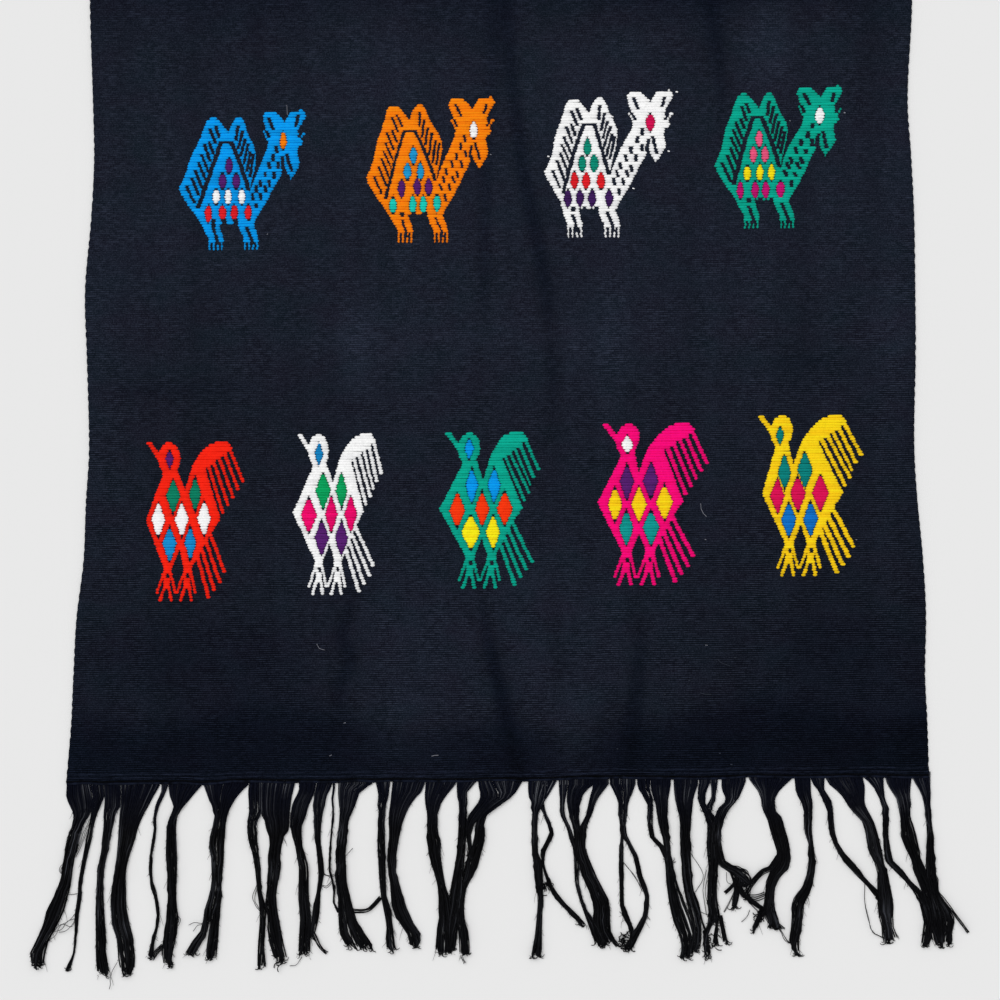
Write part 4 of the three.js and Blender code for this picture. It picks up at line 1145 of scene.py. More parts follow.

# Each lock: the panel it lies in, how ragged its tip is, and its outlines as read off at rows down
# it: steps down, then its left and right side in steps from the panel's left edge.
LOCKS = [
    ("A", 40, [
        (105, 335, 500), (190, 330, 520), (240, 352, 522), (300, 382, 508), (380, 380, 462),
        (440, 346, 436), (560, 320, 418), (650, 312, 387), (800, 283, 372), (900, 240, 350),
        (1000, 187, 325), (1100, 165, 275), (1200, 120, 215), (1300, 68, 190), (1400, 85, 172),
    ]),
    ("A", 35, [
        (105, 500, 600), (190, 520, 606), (300, 508, 556), (400, 492, 528), (500, 470, 515),
        (600, 450, 487), (800, 415, 445), (900, 412, 440), (1000, 392, 425), (1200, 388, 405),
        (1300, 382, 395), (1400, 345, 368), (1435, 343, 352),
    ]),
    ("A", 60, [
        (105, 600, 722), (190, 606, 722), (255, 603, 722), (300, 600, 690), (400, 595, 668),
        (600, 577, 625), (700, 553, 605), (800, 547, 597), (1000, 538, 606), (1200, 540, 622),
        (1300, 540, 618), (1400, 543, 640), (1470, 556, 652),
    ]),
    ("A", 90, [
        (105, 722, 1000), (150, 722, 975), (200, 722, 945), (250, 722, 920), (300, 712, 890),
        (400, 706, 845), (500, 700, 820), (600, 692, 785), (700, 675, 758), (900, 645, 758),
        (1000, 648, 765), (1100, 655, 785), (1200, 690, 812), (1380, 700, 833), (1465, 740, 790),
    ]),
    ("A", 40, [
        (110, 1010, 1058), (170, 1005, 1035), (250, 962, 990), (350, 948, 972), (420, 955, 978),
        (500, 940, 965), (600, 924, 948), (700, 918, 943), (800, 928, 955), (900, 955, 985),
        (1000, 975, 1000), (1080, 974, 998), (1150, 955, 980), (1250, 920, 960), (1345, 892, 942),
    ]),
    ("A", 50, [
        (105, 1060, 1300), (170, 1065, 1240), (220, 1085, 1200), (260, 1098, 1162),
        (300, 1090, 1135), (340, 1065, 1118), (380, 1045, 1116), (500, 1042, 1118),
        (600, 1036, 1125), (700, 1048, 1124), (900, 1055, 1116), (1060, 1042, 1132),
        (1150, 1028, 1125), (1250, 1012, 1105), (1340, 1010, 1082), (1405, 1035, 1082),
    ]),
    ("A", 50, [
        (100, 1308, 1450), (200, 1345, 1430), (250, 1370, 1432), (340, 1390, 1430),
        (400, 1372, 1420), (450, 1355, 1412), (540, 1345, 1400), (620, 1362, 1408),
        (800, 1368, 1402), (900, 1345, 1390), (1000, 1312, 1370), (1100, 1303, 1350),
        (1170, 1275, 1335), (1230, 1215, 1300), (1300, 1178, 1258), (1330, 1195, 1235),
    ]),
    ("A", 50, [
        (100, 1450, 1633), (150, 1440, 1578), (200, 1430, 1538), (250, 1432, 1508),
        (340, 1430, 1473), (400, 1420, 1468), (540, 1400, 1458), (620, 1408, 1457),
        (800, 1402, 1438), (900, 1390, 1441), (1000, 1368, 1428), (1200, 1338, 1418),
        (1300, 1322, 1410), (1360, 1330, 1395),
    ]),
    ("B", 40, [
        (95, 350, 452), (150, 342, 452), (290, 350, 452), (318, 349, 436), (350, 343, 415),
        (400, 334, 408), (500, 345, 415), (560, 368, 420), (700, 392, 438), (850, 406, 440),
        (900, 415, 455), (1000, 425, 480), (1050, 428, 475), (1200, 415, 465), (1300, 410, 462),
        (1418, 408, 445),
    ]),
    ("B", 110, [
        (95, 438, 680), (150, 434, 665), (200, 432, 655), (290, 434, 643), (318, 441, 641),
        (350, 460, 640), (400, 470, 638), (430, 478, 632), (470, 495, 598), (560, 495, 582),
        (600, 483, 577), (700, 486, 578), (800, 480, 558), (900, 470, 545), (1000, 478, 555),
        (1200, 485, 595), (1250, 500, 605), (1350, 530, 630), (1405, 548, 600),
    ]),
    ("B", 70, [
        (95, 705, 830), (130, 708, 825), (180, 690, 810), (230, 660, 785), (330, 643, 755),
        (400, 642, 730), (520, 675, 728), (620, 692, 762), (700, 705, 780), (900, 698, 782),
        (1050, 712, 800), (1200, 702, 795), (1260, 708, 795), (1335, 682, 790),
    ]),
    ("B", 60, [
        (95, 832, 945), (150, 820, 925), (180, 812, 905), (250, 808, 890), (400, 812, 868),
        (500, 822, 862), (650, 838, 885), (750, 845, 892), (850, 835, 862), (950, 810, 862),
        (1050, 795, 855), (1150, 790, 825), (1200, 795, 815),
    ]),
    ("B", 30, [
        (125, 948, 965), (200, 935, 955), (300, 945, 962), (400, 935, 950), (500, 925, 942),
        (700, 912, 935), (780, 935, 955), (830, 950, 970), (940, 945, 958), (1030, 985, 1000),
    ]),
    ("B", 80, [
        (95, 985, 1230), (130, 985, 1150), (180, 985, 1130), (260, 995, 1105), (300, 995, 1080),
        (350, 993, 1062), (500, 975, 1050), (600, 970, 1040), (800, 968, 1050), (900, 985, 1075),
        (1000, 985, 1100), (1100, 985, 1135), (1150, 985, 1170), (1200, 1010, 1200),
        (1250, 1040, 1225), (1290, 1085, 1200),
    ]),
    ("B", 40, [
        (950, 1040, 1080), (1050, 1085, 1115), (1150, 1140, 1175), (1220, 1180, 1220),
        (1290, 1225, 1255),
    ]),
    ("B", 60, [
        (95, 1255, 1358), (150, 1268, 1350), (200, 1275, 1340), (330, 1272, 1320),
        (500, 1262, 1325), (700, 1272, 1328), (800, 1278, 1330), (900, 1290, 1335),
        (1000, 1310, 1370), (1100, 1330, 1375), (1200, 1322, 1392), (1250, 1325, 1398),
        (1300, 1345, 1405),
    ]),
    ("C", 40, [
        (75, 90, 330), (150, 82, 300), (200, 78, 250), (250, 72, 215), (300, 65, 190),
        (360, 62, 165), (450, 65, 145), (550, 60, 125), (650, 55, 115), (740, 58, 118),
        (800, 70, 140), (960, 80, 185), (1050, 110, 225), (1100, 150, 250), (1150, 185, 290),
        (1200, 205, 305), (1260, 235, 275),
    ]),
    ("C", 60, [
        (90, 325, 545), (130, 322, 515), (180, 318, 470), (250, 325, 430), (320, 335, 412),
        (430, 335, 412), (500, 335, 438), (620, 350, 435), (720, 380, 452), (780, 405, 462),
        (850, 412, 475), (900, 415, 500), (1000, 415, 520), (1060, 418, 530), (1150, 400, 545),
        (1260, 390, 545), (1315, 395, 535),
    ]),
    ("C", 40, [
        (75, 550, 690), (150, 545, 625), (250, 565, 618), (450, 555, 620), (600, 545, 610),
        (700, 528, 600), (800, 505, 610), (860, 490, 610), (950, 480, 600), (1060, 470, 570),
        (1150, 470, 560), (1250, 480, 545), (1280, 490, 530),
    ]),
    ("C", 40, [
        (80, 700, 800), (130, 705, 830), (180, 720, 850), (230, 700, 800), (280, 660, 760),
        (330, 630, 720), (380, 610, 675), (480, 618, 645), (580, 635, 665), (640, 600, 680),
    ]),
    ("C", 50, [
        (80, 800, 1015), (130, 830, 985), (180, 860, 950), (230, 790, 880), (280, 740, 810),
        (320, 700, 750), (380, 680, 745), (500, 668, 748), (550, 650, 738), (600, 630, 722),
        (650, 600, 705), (745, 600, 672), (790, 580, 635), (850, 560, 615), (950, 545, 600),
        (1060, 545, 605), (1170, 560, 640), (1300, 565, 642), (1330, 570, 600),
    ]),
    ("C", 50, [
        (75, 1055, 1262), (130, 1055, 1230), (180, 1058, 1200), (220, 1075, 1170),
        (300, 1085, 1130), (400, 1078, 1122), (600, 1082, 1130), (650, 1092, 1160),
        (780, 1100, 1165), (900, 1125, 1165), (1000, 1120, 1160), (1200, 1100, 1155),
        (1280, 1085, 1150), (1350, 1085, 1145),
    ]),
    ("C", 40, [
        (150, 1150, 1200), (240, 1135, 1165), (300, 1160, 1185), (400, 1200, 1228),
        (450, 1208, 1237), (500, 1185, 1225), (550, 1148, 1190), (600, 1140, 1175),
        (650, 1150, 1172), (720, 1165, 1185), (830, 1200, 1235), (880, 1225, 1275),
        (940, 1275, 1320), (1000, 1330, 1385), (1060, 1395, 1450), (1120, 1455, 1485),
    ]),
    ("D", 40, [
        (100, -8, 60), (200, -2, 38), (280, -4, 30), (330, 5, 42), (400, 42, 72), (480, 70, 98),
        (560, 92, 120), (640, 98, 150), (800, 103, 133), (900, 130, 160), (1000, 165, 200),
        (1060, 185, 235), (1150, 215, 280), (1240, 262, 320),
    ]),
    ("D", 50, [
        (100, 60, 240), (150, 50, 175), (200, 48, 155), (260, 52, 140), (380, 85, 135),
        (440, 100, 165), (560, 100, 180), (620, 115, 195), (680, 140, 215), (740, 150, 240),
        (850, 200, 290), (960, 240, 330), (1100, 225, 330), (1180, 240, 345), (1260, 270, 360),
    ]),
    ("D", 40, [
        (95, 235, 350), (130, 228, 322), (180, 215, 280), (240, 200, 252), (300, 190, 232),
        (350, 170, 215), (400, 140, 195), (520, 140, 180), (580, 140, 190), (650, 175, 222),
        (720, 195, 250), (800, 240, 285), (900, 280, 345), (960, 300, 364), (1100, 290, 362),
        (1160, 300, 372), (1210, 330, 400), (1245, 350, 415),
    ]),
    ("D", 60, [
        (95, 355, 440), (130, 375, 448), (170, 395, 450), (210, 415, 452), (320, 418, 452),
        (460, 432, 452), (600, 418, 455), (800, 422, 455), (960, 425, 458), (1060, 450, 505),
        (1110, 485, 520), (1160, 500, 530), (1220, 490, 530), (1290, 465, 510),
    ]),
    ("D", 60, [
        (95, 440, 540), (130, 448, 528), (170, 450, 510), (210, 452, 490), (320, 452, 480),
        (400, 450, 468), (460, 440, 480), (520, 475, 510), (560, 495, 530), (620, 525, 565),
        (740, 545, 585), (800, 570, 615), (900, 605, 640), (1000, 600, 635), (1050, 580, 625),
        (1150, 520, 580), (1230, 485, 535), (1300, 465, 510),
    ]),
    ("D", 40, [
        (95, 548, 645), (140, 560, 640), (180, 590, 660), (210, 625, 668), (340, 618, 662),
        (460, 630, 668), (500, 655, 700), (540, 700, 748), (580, 728, 770), (650, 745, 800),
    ]),
    ("D", 50, [
        (95, 645, 790), (150, 650, 782), (200, 670, 770), (320, 690, 768), (440, 715, 775),
        (500, 738, 785), (620, 742, 795), (700, 750, 812), (820, 755, 845), (880, 765, 870),
        (940, 768, 890), (1060, 790, 945), (1120, 815, 960), (1180, 845, 975), (1240, 862, 960),
        (1340, 878, 945),
    ]),
    ("D", 40, [
        (95, 808, 985), (150, 812, 965), (200, 818, 950), (300, 838, 940), (340, 855, 938),
        (450, 850, 930), (600, 862, 935), (800, 872, 945), (920, 895, 970), (1040, 925, 1000),
        (1100, 945, 1010), (1240, 960, 1010), (1300, 960, 990),
    ]),
    ("D", 40, [
        (870, 945, 965), (930, 970, 990), (1040, 995, 1015), (1100, 1010, 1030),
        (1150, 1030, 1050), (1200, 1045, 1065), (1300, 1040, 1050),
    ]),
    ("D", 70, [
        (85, 990, 1070), (140, 978, 1045), (200, 978, 1032), (240, 992, 1040), (300, 1022, 1085),
        (360, 1040, 1130), (400, 1048, 1150), (520, 1040, 1140), (680, 1055, 1130),
        (850, 1048, 1120), (940, 1045, 1125), (1000, 1055, 1140), (1100, 1062, 1160),
    ]),
    ("D", 40, [(1030, 1125, 1160), (1090, 1135, 1170), (1160, 1150, 1185), (1245, 1165, 1208)]),
    ("D", 40, [(1030, 1090, 1135), (1100, 1100, 1135), (1170, 1095, 1125), (1255, 1080, 1125)]),
    ("D", 60, [
        (1030, 1055, 1105), (1090, 1050, 1090), (1160, 1020, 1060), (1210, 1015, 1065),
        (1270, 1020, 1075), (1345, 1030, 1080),
    ]),
    ("D", 20, [
        (85, 1070, 1125), (130, 1075, 1120), (180, 1080, 1112), (220, 1065, 1105),
        (280, 1030, 1080),
    ]),
    ("D", 40, [
        (75, 1150, 1325), (120, 1150, 1308), (170, 1165, 1285), (210, 1190, 1265),
        (260, 1135, 1215), (300, 1105, 1190), (350, 1095, 1170), (400, 1080, 1150),
        (520, 1075, 1150), (640, 1090, 1180), (680, 1130, 1215), (710, 1185, 1290),
        (740, 1240, 1330), (790, 1300, 1358), (810, 1290, 1345),
    ]),
    ("D", 50, [
        (720, 1200, 1290), (800, 1235, 1290), (860, 1240, 1285), (920, 1225, 1275),
        (1000, 1218, 1250),
    ]),
    ("D", 30, [
        (780, 1250, 1290), (870, 1270, 1315), (920, 1325, 1375), (960, 1385, 1440),
        (1010, 1455, 1510),
    ]),
    ("D", 40, [(990, 1470, 1500), (1050, 1480, 1510), (1145, 1505, 1545)]),
    ("D", 50, [(990, 1420, 1460), (1050, 1395, 1440), (1155, 1350, 1395)]),
    ("D", 30, [(1000, 1510, 1540), (1060, 1530, 1560), (1130, 1560, 1592)]),
    ("E", 50, [
        (60, -80, 225), (100, -50, 180), (150, -10, 130), (190, 5, 105), (240, 10, 105),
        (280, 18, 110), (320, 40, 150), (380, 60, 170), (450, 75, 190), (520, 100, 212),
        (620, 130, 220), (660, 110, 215), (700, 85, 205), (740, 50, 160), (780, 40, 120),
        (850, 38, 105), (950, 25, 102), (1000, 5, 112), (1060, 40, 128), (1120, 75, 145),
    ]),
    ("E", 40, [
        (60, 245, 360), (110, 250, 362), (150, 252, 362), (200, 275, 365), (240, 310, 372),
        (420, 308, 372), (510, 342, 380), (640, 346, 400), (760, 325, 388), (820, 300, 378),
        (880, 255, 362), (930, 225, 330), (980, 218, 310), (1100, 218, 302), (1210, 200, 285),
        (1260, 205, 275), (1310, 270, 290),
    ]),
    ("E", 60, [
        (60, 362, 460), (100, 380, 458), (150, 420, 462), (200, 440, 500), (260, 475, 522),
        (400, 485, 530), (460, 500, 540), (520, 520, 560), (580, 550, 598), (640, 590, 655),
        (700, 640, 715), (760, 700, 742), (840, 780, 825), (880, 808, 850), (935, 840, 870),
    ]),
    ("E", 60, [
        (60, 470, 735), (100, 495, 745), (150, 560, 748), (200, 600, 742), (240, 620, 745),
        (300, 665, 775), (340, 712, 800), (380, 735, 815), (440, 748, 838), (560, 765, 870),
        (660, 815, 885), (700, 835, 905), (820, 832, 930), (940, 835, 955), (1000, 832, 955),
        (1060, 850, 950), (1120, 865, 955), (1180, 862, 985), (1230, 890, 975),
    ]),
    ("E", 50, [
        (45, 735, 880), (100, 800, 880), (150, 820, 885), (200, 850, 892), (250, 875, 910),
        (300, 870, 920), (480, 875, 915), (600, 880, 940), (640, 895, 945), (700, 945, 1015),
        (760, 1010, 1050), (820, 1060, 1110), (880, 1105, 1170), (930, 1130, 1200),
        (980, 1140, 1230), (1060, 1165, 1235), (1200, 1150, 1220), (1260, 1140, 1200),
    ]),
    ("E", 50, [
        (45, 890, 1080), (100, 905, 1075), (150, 940, 1068), (200, 972, 1072), (250, 980, 1078),
        (290, 990, 1062), (340, 998, 1075), (460, 1000, 1115), (560, 1040, 1138),
        (620, 1070, 1145), (740, 1102, 1200), (860, 1150, 1240), (940, 1180, 1270),
        (1020, 1190, 1290), (1100, 1200, 1300), (1180, 1215, 1310), (1240, 1230, 1300),
    ]),
    ("E", 50, [
        (45, 1085, 1213), (90, 1105, 1213), (130, 1130, 1212), (180, 1155, 1213),
        (320, 1180, 1220), (480, 1188, 1238), (620, 1178, 1245), (740, 1180, 1258),
        (880, 1200, 1280), (940, 1220, 1320), (1000, 1240, 1360), (1060, 1250, 1395),
        (1160, 1270, 1370), (1255, 1300, 1340),
    ]),
]

# Threads that have slipped out of the locks: panel, how many lie together and how far they
# spread, then the places that they pass, across and down.
SLIPPED = [
    ("A", 1, 0, [(395, 1020), (350, 1070), (280, 1105), (215, 1180)]),
    ("A", 1, 0, [(398, 1050), (340, 1075), (300, 1130), (240, 1150), (200, 1200)]),
    ("A", 1, 0, [(392, 1075), (370, 1110), (300, 1095), (255, 1175), (190, 1215)]),
    ("A", 1, 0, [(400, 1030), (380, 1090), (330, 1140), (280, 1150)]),
    ("A", 1, 0, [(350, 882), (420, 876)]),
    ("A", 3, 14, [(508, 350), (462, 455), (428, 540), (392, 612)]),
    ("A", 2, 10, [(335, 650), (300, 680), (288, 705), (302, 728), (325, 742)]),
    ("A", 1, 0, [(695, 1365), (655, 1440), (650, 1500), (640, 1555)]),
    ("A", 1, 0, [(1310, 1090), (1250, 1080), (1205, 1100)]),
    ("A", 1, 0, [(1300, 1095), (1270, 1100), (1235, 1145)]),
    ("A", 2, 12, [(1120, 1030), (1142, 1065), (1125, 1100), (1100, 1120)]),
    ("A", 5, 18, [(945, 1335), (975, 1290), (1020, 1245)]),
    ("A", 1, 0, [(1070, 1290), (1095, 1305), (1100, 1330)]),
    ("B", 2, 12, [(410, 820), (385, 900), (405, 960), (430, 1000)]),
    ("B", 1, 0, [(730, 1325), (690, 1380), (640, 1392)]),
    ("B", 4, 12, [(800, 1150), (850, 1240), (905, 1300)]),
    ("B", 2, 10, [(885, 735), (930, 752), (970, 735)]),
    ("B", 2, 10, [(860, 815), (905, 825), (945, 785)]),
    ("B", 5, 15, [(1085, 1000), (1190, 992), (1235, 960), (1290, 900)]),
    ("B", 1, 0, [(1035, 610), (1090, 550)]),
    ("C", 3, 9, [(580, 1320), (605, 1372)]),
    ("C", 1, 0, [(1190, 770), (1222, 790), (1205, 815), (1190, 795)]),
    ("D", 2, 5, [(450, 655), (520, 740), (592, 855)]),
    ("D", 2, 14, [(430, 1000), (475, 1060), (500, 1110), (500, 1150)]),
    ("D", 1, 0, [(925, 575), (1020, 740), (965, 865)]),
    ("D", 2, 16, [(1048, 710), (1028, 850), (1055, 1025)]),
    ("D", 1, 0, [(975, 995), (1065, 1035)]),
    ("D", 7, 16, [
        (1150, 660), (1240, 690), (1300, 712), (1340, 750), (1345, 790), (1300, 812), (1262, 800),
        (1255, 770), (1285, 748),
    ]),
    ("D", 5, 12, [(1255, 788), (1215, 832), (1173, 871)]),
    ("D", 2, 5, [(1245, 850), (1210, 930), (1167, 1010)]),
    ("D", 1, 0, [(1183, 725), (1190, 785), (1225, 816)]),
    ("D", 4, 26, [(1300, 900), (1390, 905), (1465, 880)]),
    ("D", 1, 0, [(1355, 990), (1330, 1040), (1295, 1077)]),
    ("D", 3, 8, [(1425, 1020), (1395, 1085), (1405, 1105)]),
    ("E", 7, 19, [
        (140, 595), (75, 690), (15, 720), (-35, 770), (-80, 830), (-90, 880), (-65, 930), (5, 985),
    ]),
    ("E", 3, 8, [(105, 1075), (175, 1125)]),
    ("E", 3, 8, [(135, 1110), (175, 1190), (210, 1230)]),
    ("E", 2, 4, [(745, 780), (745, 930), (775, 1080), (800, 1150), (880, 1195)]),
    ("E", 4, 10, [(1260, 870), (1380, 1010), (1480, 1155)]),
]

# Places where short ends have curled up into a tangle: panel, across, down, how wide, how long,
# and how many ends.
TANGLES = [
    ("D", 1290, 790, 55, 45, 12),
    ("D", 455, 1205, 45, 70, 30),
    ("D", 1440, 1035, 55, 45, 20),
    ("D", 1090, 1190, 75, 70, 16),
    ("C", 1152, 835, 14, 34, 12),
    ("C", 1200, 800, 16, 24, 12),
    ("B", 565, 1375, 22, 20, 6),
    ("E", 60, 960, 40, 60, 6),
]

# Roots that carry more painted sheen than the rest or, below nought, less: across, mm from the
# hem, wide, long and how much.
SHEEN_PATCHES = [
    (-111, 9, 8, 12, 0.6),
    (-44, 5, 6, 7, 0.2),
    (-151, 6, 5, 6, 0.15),
    (165, 3, 9, 6, -0.5),
]

WARP_PITCH = 0.42  # from one warp to the next in the hem
PACKED_PITCH = 0.3  # and in a lock that is fuller further down
CORE_PITCH = 1.5
CORE_ROOT_PITCH = 2.2
STATION_STEP = 2.5  # from one point of a yarn's path to the next
YARN_HALF = 0.27
THREAD_HALF = 0.15
CURL_HALF = 0.3
CURL_POINTS = 9
CORE_HALF = 0.72
WEB_WIDTH = 8.5  # a lock wider than this is still an open web of warps
WEB_FADE = 4  # and one narrower by this has drawn together
WEB_HIGH = 1.15
LOCK_HIGH = (0.9, 2.8)  # the lowest and highest that a gathered lock stands
GATHER_DROP = 11  # the twist sets in over so much of a lock below the hem
ROOT_FADE = 24  # the navy of the roots fades out over this
SHEEN_FADE = 12
TIP_FROM = 0.83  # the share of a yarn where it begins to fray
TIP_SHARE = 0.17
TUFT_WIDE = 1.3
HOOKED = 0.65  # the share of yarns that end in a small hook
FUZZ_PER_MM = 0.6
ROOT_HIDDEN = 2.9  # how far a yarn's root reaches into the hem
ROOT_LEVEL = 0.7
ROOTED_WITHIN = 6  # a lock that begins nearer the hem than this comes out of it
FAR_FROM_HEM = 40
PARTED_AT = -20  # the near fringe is made in two pieces, parted here, across
FRINGE_BLACK = (9, 9, 11)
ROOT_NAVY = (9, 12, 25)
SHEEN_GREY = (60, 62, 68)
FIBRE_GREY = (70, 72, 80)
FIBRE_RELIEF = 0.00014
FRINGE_DYES = [np.array(linear(one)[:3]) for one in (ROOT_NAVY, FRINGE_BLACK, SHEEN_GREY)]


def yarn_colour(from_hem, tone):
    """Navy where a warp leaves the cloth, black further down, and greyer where painted sheen lies
    on it.
    """
    root, body, painted_light = FRINGE_DYES
    mix = min(1.0, max(0.0, from_hem / ROOT_FADE))
    colour = root * (1 - mix) + body * mix
    return list(colour + (painted_light - colour) * tone)


def place_of(panel, across, down):
    """X and Y of a reading, in mm."""
    return PANELS[panel] + READING * across, READING_TOP - READING * down


def lock_rows(panel, readings):
    """The readings of a lock as mm from the hem, and its left and right side in mm."""
    rows = []
    for down, *sides in readings:
        (left, y), (right, _) = [place_of(panel, side, down) for side in sides]
        rows.append((hem_y((left + right) / 2, 0) - y, left, right))
    return rows


def sides_at(rows, drop):
    """The left and right side of a lock at a distance from the hem."""
    drops, lefts, rights = zip(*rows)
    return float(np.interp(drop, drops, lefts)), float(np.interp(drop, drops, rights))


def bumpy_sides(rows, drop, gather, seed):
    """The sides of a lock with the small pinches and bulges that its yarns give them."""
    left, right = sides_at(rows, drop)
    much = (0.2 + 0.8 * min(1.0, (right - left) / 5)) * gather
    left += much * uneven(drop / 3.6, seed, 1.3)
    right += much * uneven(drop / 3.6, seed, 7.9)
    return left, right


def sheen_patch_at(across, drop):
    """How much painted sheen lightens the warps in patches, most of all just below the hem."""
    patch = 0.2 + uneven(across / 11, drop / 9, 2.7)
    for *root, much in SHEEN_PATCHES:
        patch += much * nearness(across, drop, *root)
    return max(0.0, patch) * (0.35 + 0.65 * math.exp(-drop / SHEEN_FADE))


def gathered(wide):
    """0 where a lock is an open web and 1 where it has drawn together."""
    return min(1.0, max(0.0, (WEB_WIDTH - wide) / WEB_FADE))


def core_paths(rows, ragged, out, hem_share, stations):
    """The matted inside of a lock, which shows as black between its outer yarns."""
    first = rows[0][0]
    last = rows[-1][0] - 0.7 * ragged
    left, right = sides_at(rows, (first + last) / 2)
    wide_root = rows[0][2] - rows[0][1]
    count = max(1, round((right - left) / CORE_PITCH), round(wide_root / CORE_ROOT_PITCH))
    paths = []
    for j in range(count):
        path = []
        for i in range(stations + 1):
            drop = first + (last - first) * i / stations
            left, right = sides_at(rows, drop)
            wide = right - left
            gather = gathered(wide)
            half = min(CORE_HALF, 0.46 * wide / count) * (0.75 + 0.25 * gather)
            across = left + wide * (j + 0.5) / count
            y = hem_y(across, hem_share) + out * drop
            path.append(path_point(across, y, half + 0.1, half, yarn_colour(drop, 0.0)))
        paths.append(path)
    return paths


def lock_paths(rows, ragged, out, hem_share, stations, chance):
    """The paths of one lock's yarns, from inside the hem to the frayed and curled tip."""
    first, last = rows[0][0], rows[-1][0]
    from_hem = first < ROOTED_WITHIN
    wide_root = rows[0][2] - rows[0][1]
    fullest = max(right - left for drop, left, right in rows if drop > last * 0.3)
    count = max(4, round(wide_root / WARP_PITCH), round(fullest / PACKED_PITCH))
    turns = chance.choice((-1, 1)) * chance.uniform(1.2, 3.6)
    lock_seed = chance.uniform(0, 90)
    tufts = max(1, round((rows[-1][2] - rows[-1][1]) / TUFT_WIDE))
    shorter = [chance.random() for _ in range(tufts)]
    splay = [chance.gauss(0, 0.9) for _ in range(tufts)]
    paths = core_paths(rows, ragged, out, hem_share, stations // 2)
    for j in range(count):
        side_0 = 2 * (j + 0.5) / count - 1
        level_0 = chance.uniform(-1, 1) * math.sqrt(1 - side_0 * side_0)
        tip_side = side_0 * math.cos(turns) - level_0 * math.sin(turns)
        tuft = min(tufts - 1, int((tip_side + 1) / 2 * tufts))
        tuft_side = 2 * (tuft + 0.5) / tufts - 1
        end = last - ragged * (0.65 * shorter[tuft] + 0.5 * chance.random() ** 2)
        # painted sheen: a few yarns grow greyer towards their tips
        tone = 0.3 * chance.random() ** 7 + 0.02 * chance.random()
        thick = YARN_HALF * chance.uniform(0.85, 1.2)
        sheen = 4.5 * chance.random() ** 5
        curl = chance.gauss(0, 0.3)
        seed = chance.uniform(0, 90)
        turn = 0.0
        path = []
        for i in range(0 if from_hem else 1, stations + 1):
            share = max(0, i - 1) / (stations - 1)
            drop = first + (end - first) * share
            left, right = sides_at(rows, drop)
            gather = gathered(right - left)
            if from_hem:
                gather *= min(1.0, drop / GATHER_DROP)
            left, right = bumpy_sides(rows, drop, gather, lock_seed)
            turn += turns * gather / stations
            side = side_0 * math.cos(turn) - level_0 * math.sin(turn)
            level = side_0 * math.sin(turn) + level_0 * math.cos(turn)
            past = max(0.0, (share - TIP_FROM) / TIP_SHARE)
            side += (tuft_side - side) * 0.5 * past
            half = max(0.1, (right - left) / 2 - thick * (0.5 + 0.4 * gather))
            wave = uneven(drop / 4.2, seed, 3.1)
            across = (left + right) / 2 + half * side + 0.6 * wave * gather
            across += (curl + splay[tuft]) * past * past
            drawn_high = min(LOCK_HIGH[1], max(LOCK_HIGH[0], (right - left) * 0.5))
            high = WEB_HIGH + (drawn_high - WEB_HIGH) * gather
            level += 0.5 * uneven(drop / 5.5, seed, 8.7)
            level = max(0.0, min(1.0, 0.5 + 0.5 * level))
            z = thick + max(0.0, high - 2 * thick) * level
            y = hem_y((left + right) / 2, hem_share) + out * drop
            if i == 0:
                y = hem_y(across, hem_share) - out * ROOT_HIDDEN
                z = ROOT_LEVEL
            # Painted sheen: greyer yarns towards the tips, and patches of glints just below the
            # hem.
            painted_light = tone * share + sheen * sheen_patch_at(across, drop)
            half_width = thick * (1.22 - 0.22 * gather)
            path.append(path_point(across, y, z, half_width, yarn_colour(drop, painted_light)))
        if chance.random() < HOOKED:
            around = chance.uniform(0.5, 1.3)
            bend = chance.choice((-1, 1)) * chance.uniform(0.2, 0.75)
            heading = -math.pi / 2 if out < 0 else math.pi / 2
            for k in range(1, 5):
                heading += bend * chance.uniform(0.7, 1.3)
                across += around * abs(bend) * math.cos(heading)
                y += around * abs(bend) * math.sin(heading)
                half_width = thick * (1 - 0.1 * k)
                dye = yarn_colour(drop, tone)
                path.append(path_point(across, y, z + 0.08 * k, half_width, dye))
        paths.append(path)
    return paths


def slipped_paths(panel, together, spread, places, chance):
    """The paths of threads that have slipped out of their lock."""
    steps = 4 * (len(places) - 1)
    order = list(range(len(places)))
    middle = []
    for i in range(steps + 1):
        at = (len(places) - 1) * i / steps
        across, down = [along(order, column, at) for column in zip(*places)]
        middle.append(Vector(place_of(panel, across, down)))
    paths = []
    for j in range(together):
        side = (2 * (j + 0.5) / together - 1) * spread * READING
        lift = chance.uniform(0.0, 0.9)
        seed = chance.uniform(0, 90)
        path = []
        for i in range(steps + 1):
            at = (len(places) - 1) * i / steps
            way = (middle[min(steps, i + 1)] - middle[max(0, i - 1)]).normalized()
            bow = math.sin(math.pi * i / steps)
            wave = (0.3 + 0.05 * together) * uneven(at * 1.7, seed, 0.5)
            across = middle[i].x - side * way.y + wave
            y = middle[i].y + side * way.x + wave
            z = 0.3 + lift + 0.5 * bow
            thick = THREAD_HALF * (1.9 if together > 3 else 1.15)
            path.append(path_point(across, y, z, thick, yarn_colour(FAR_FROM_HEM, 0.04)))
        paths.append(path)
    return paths


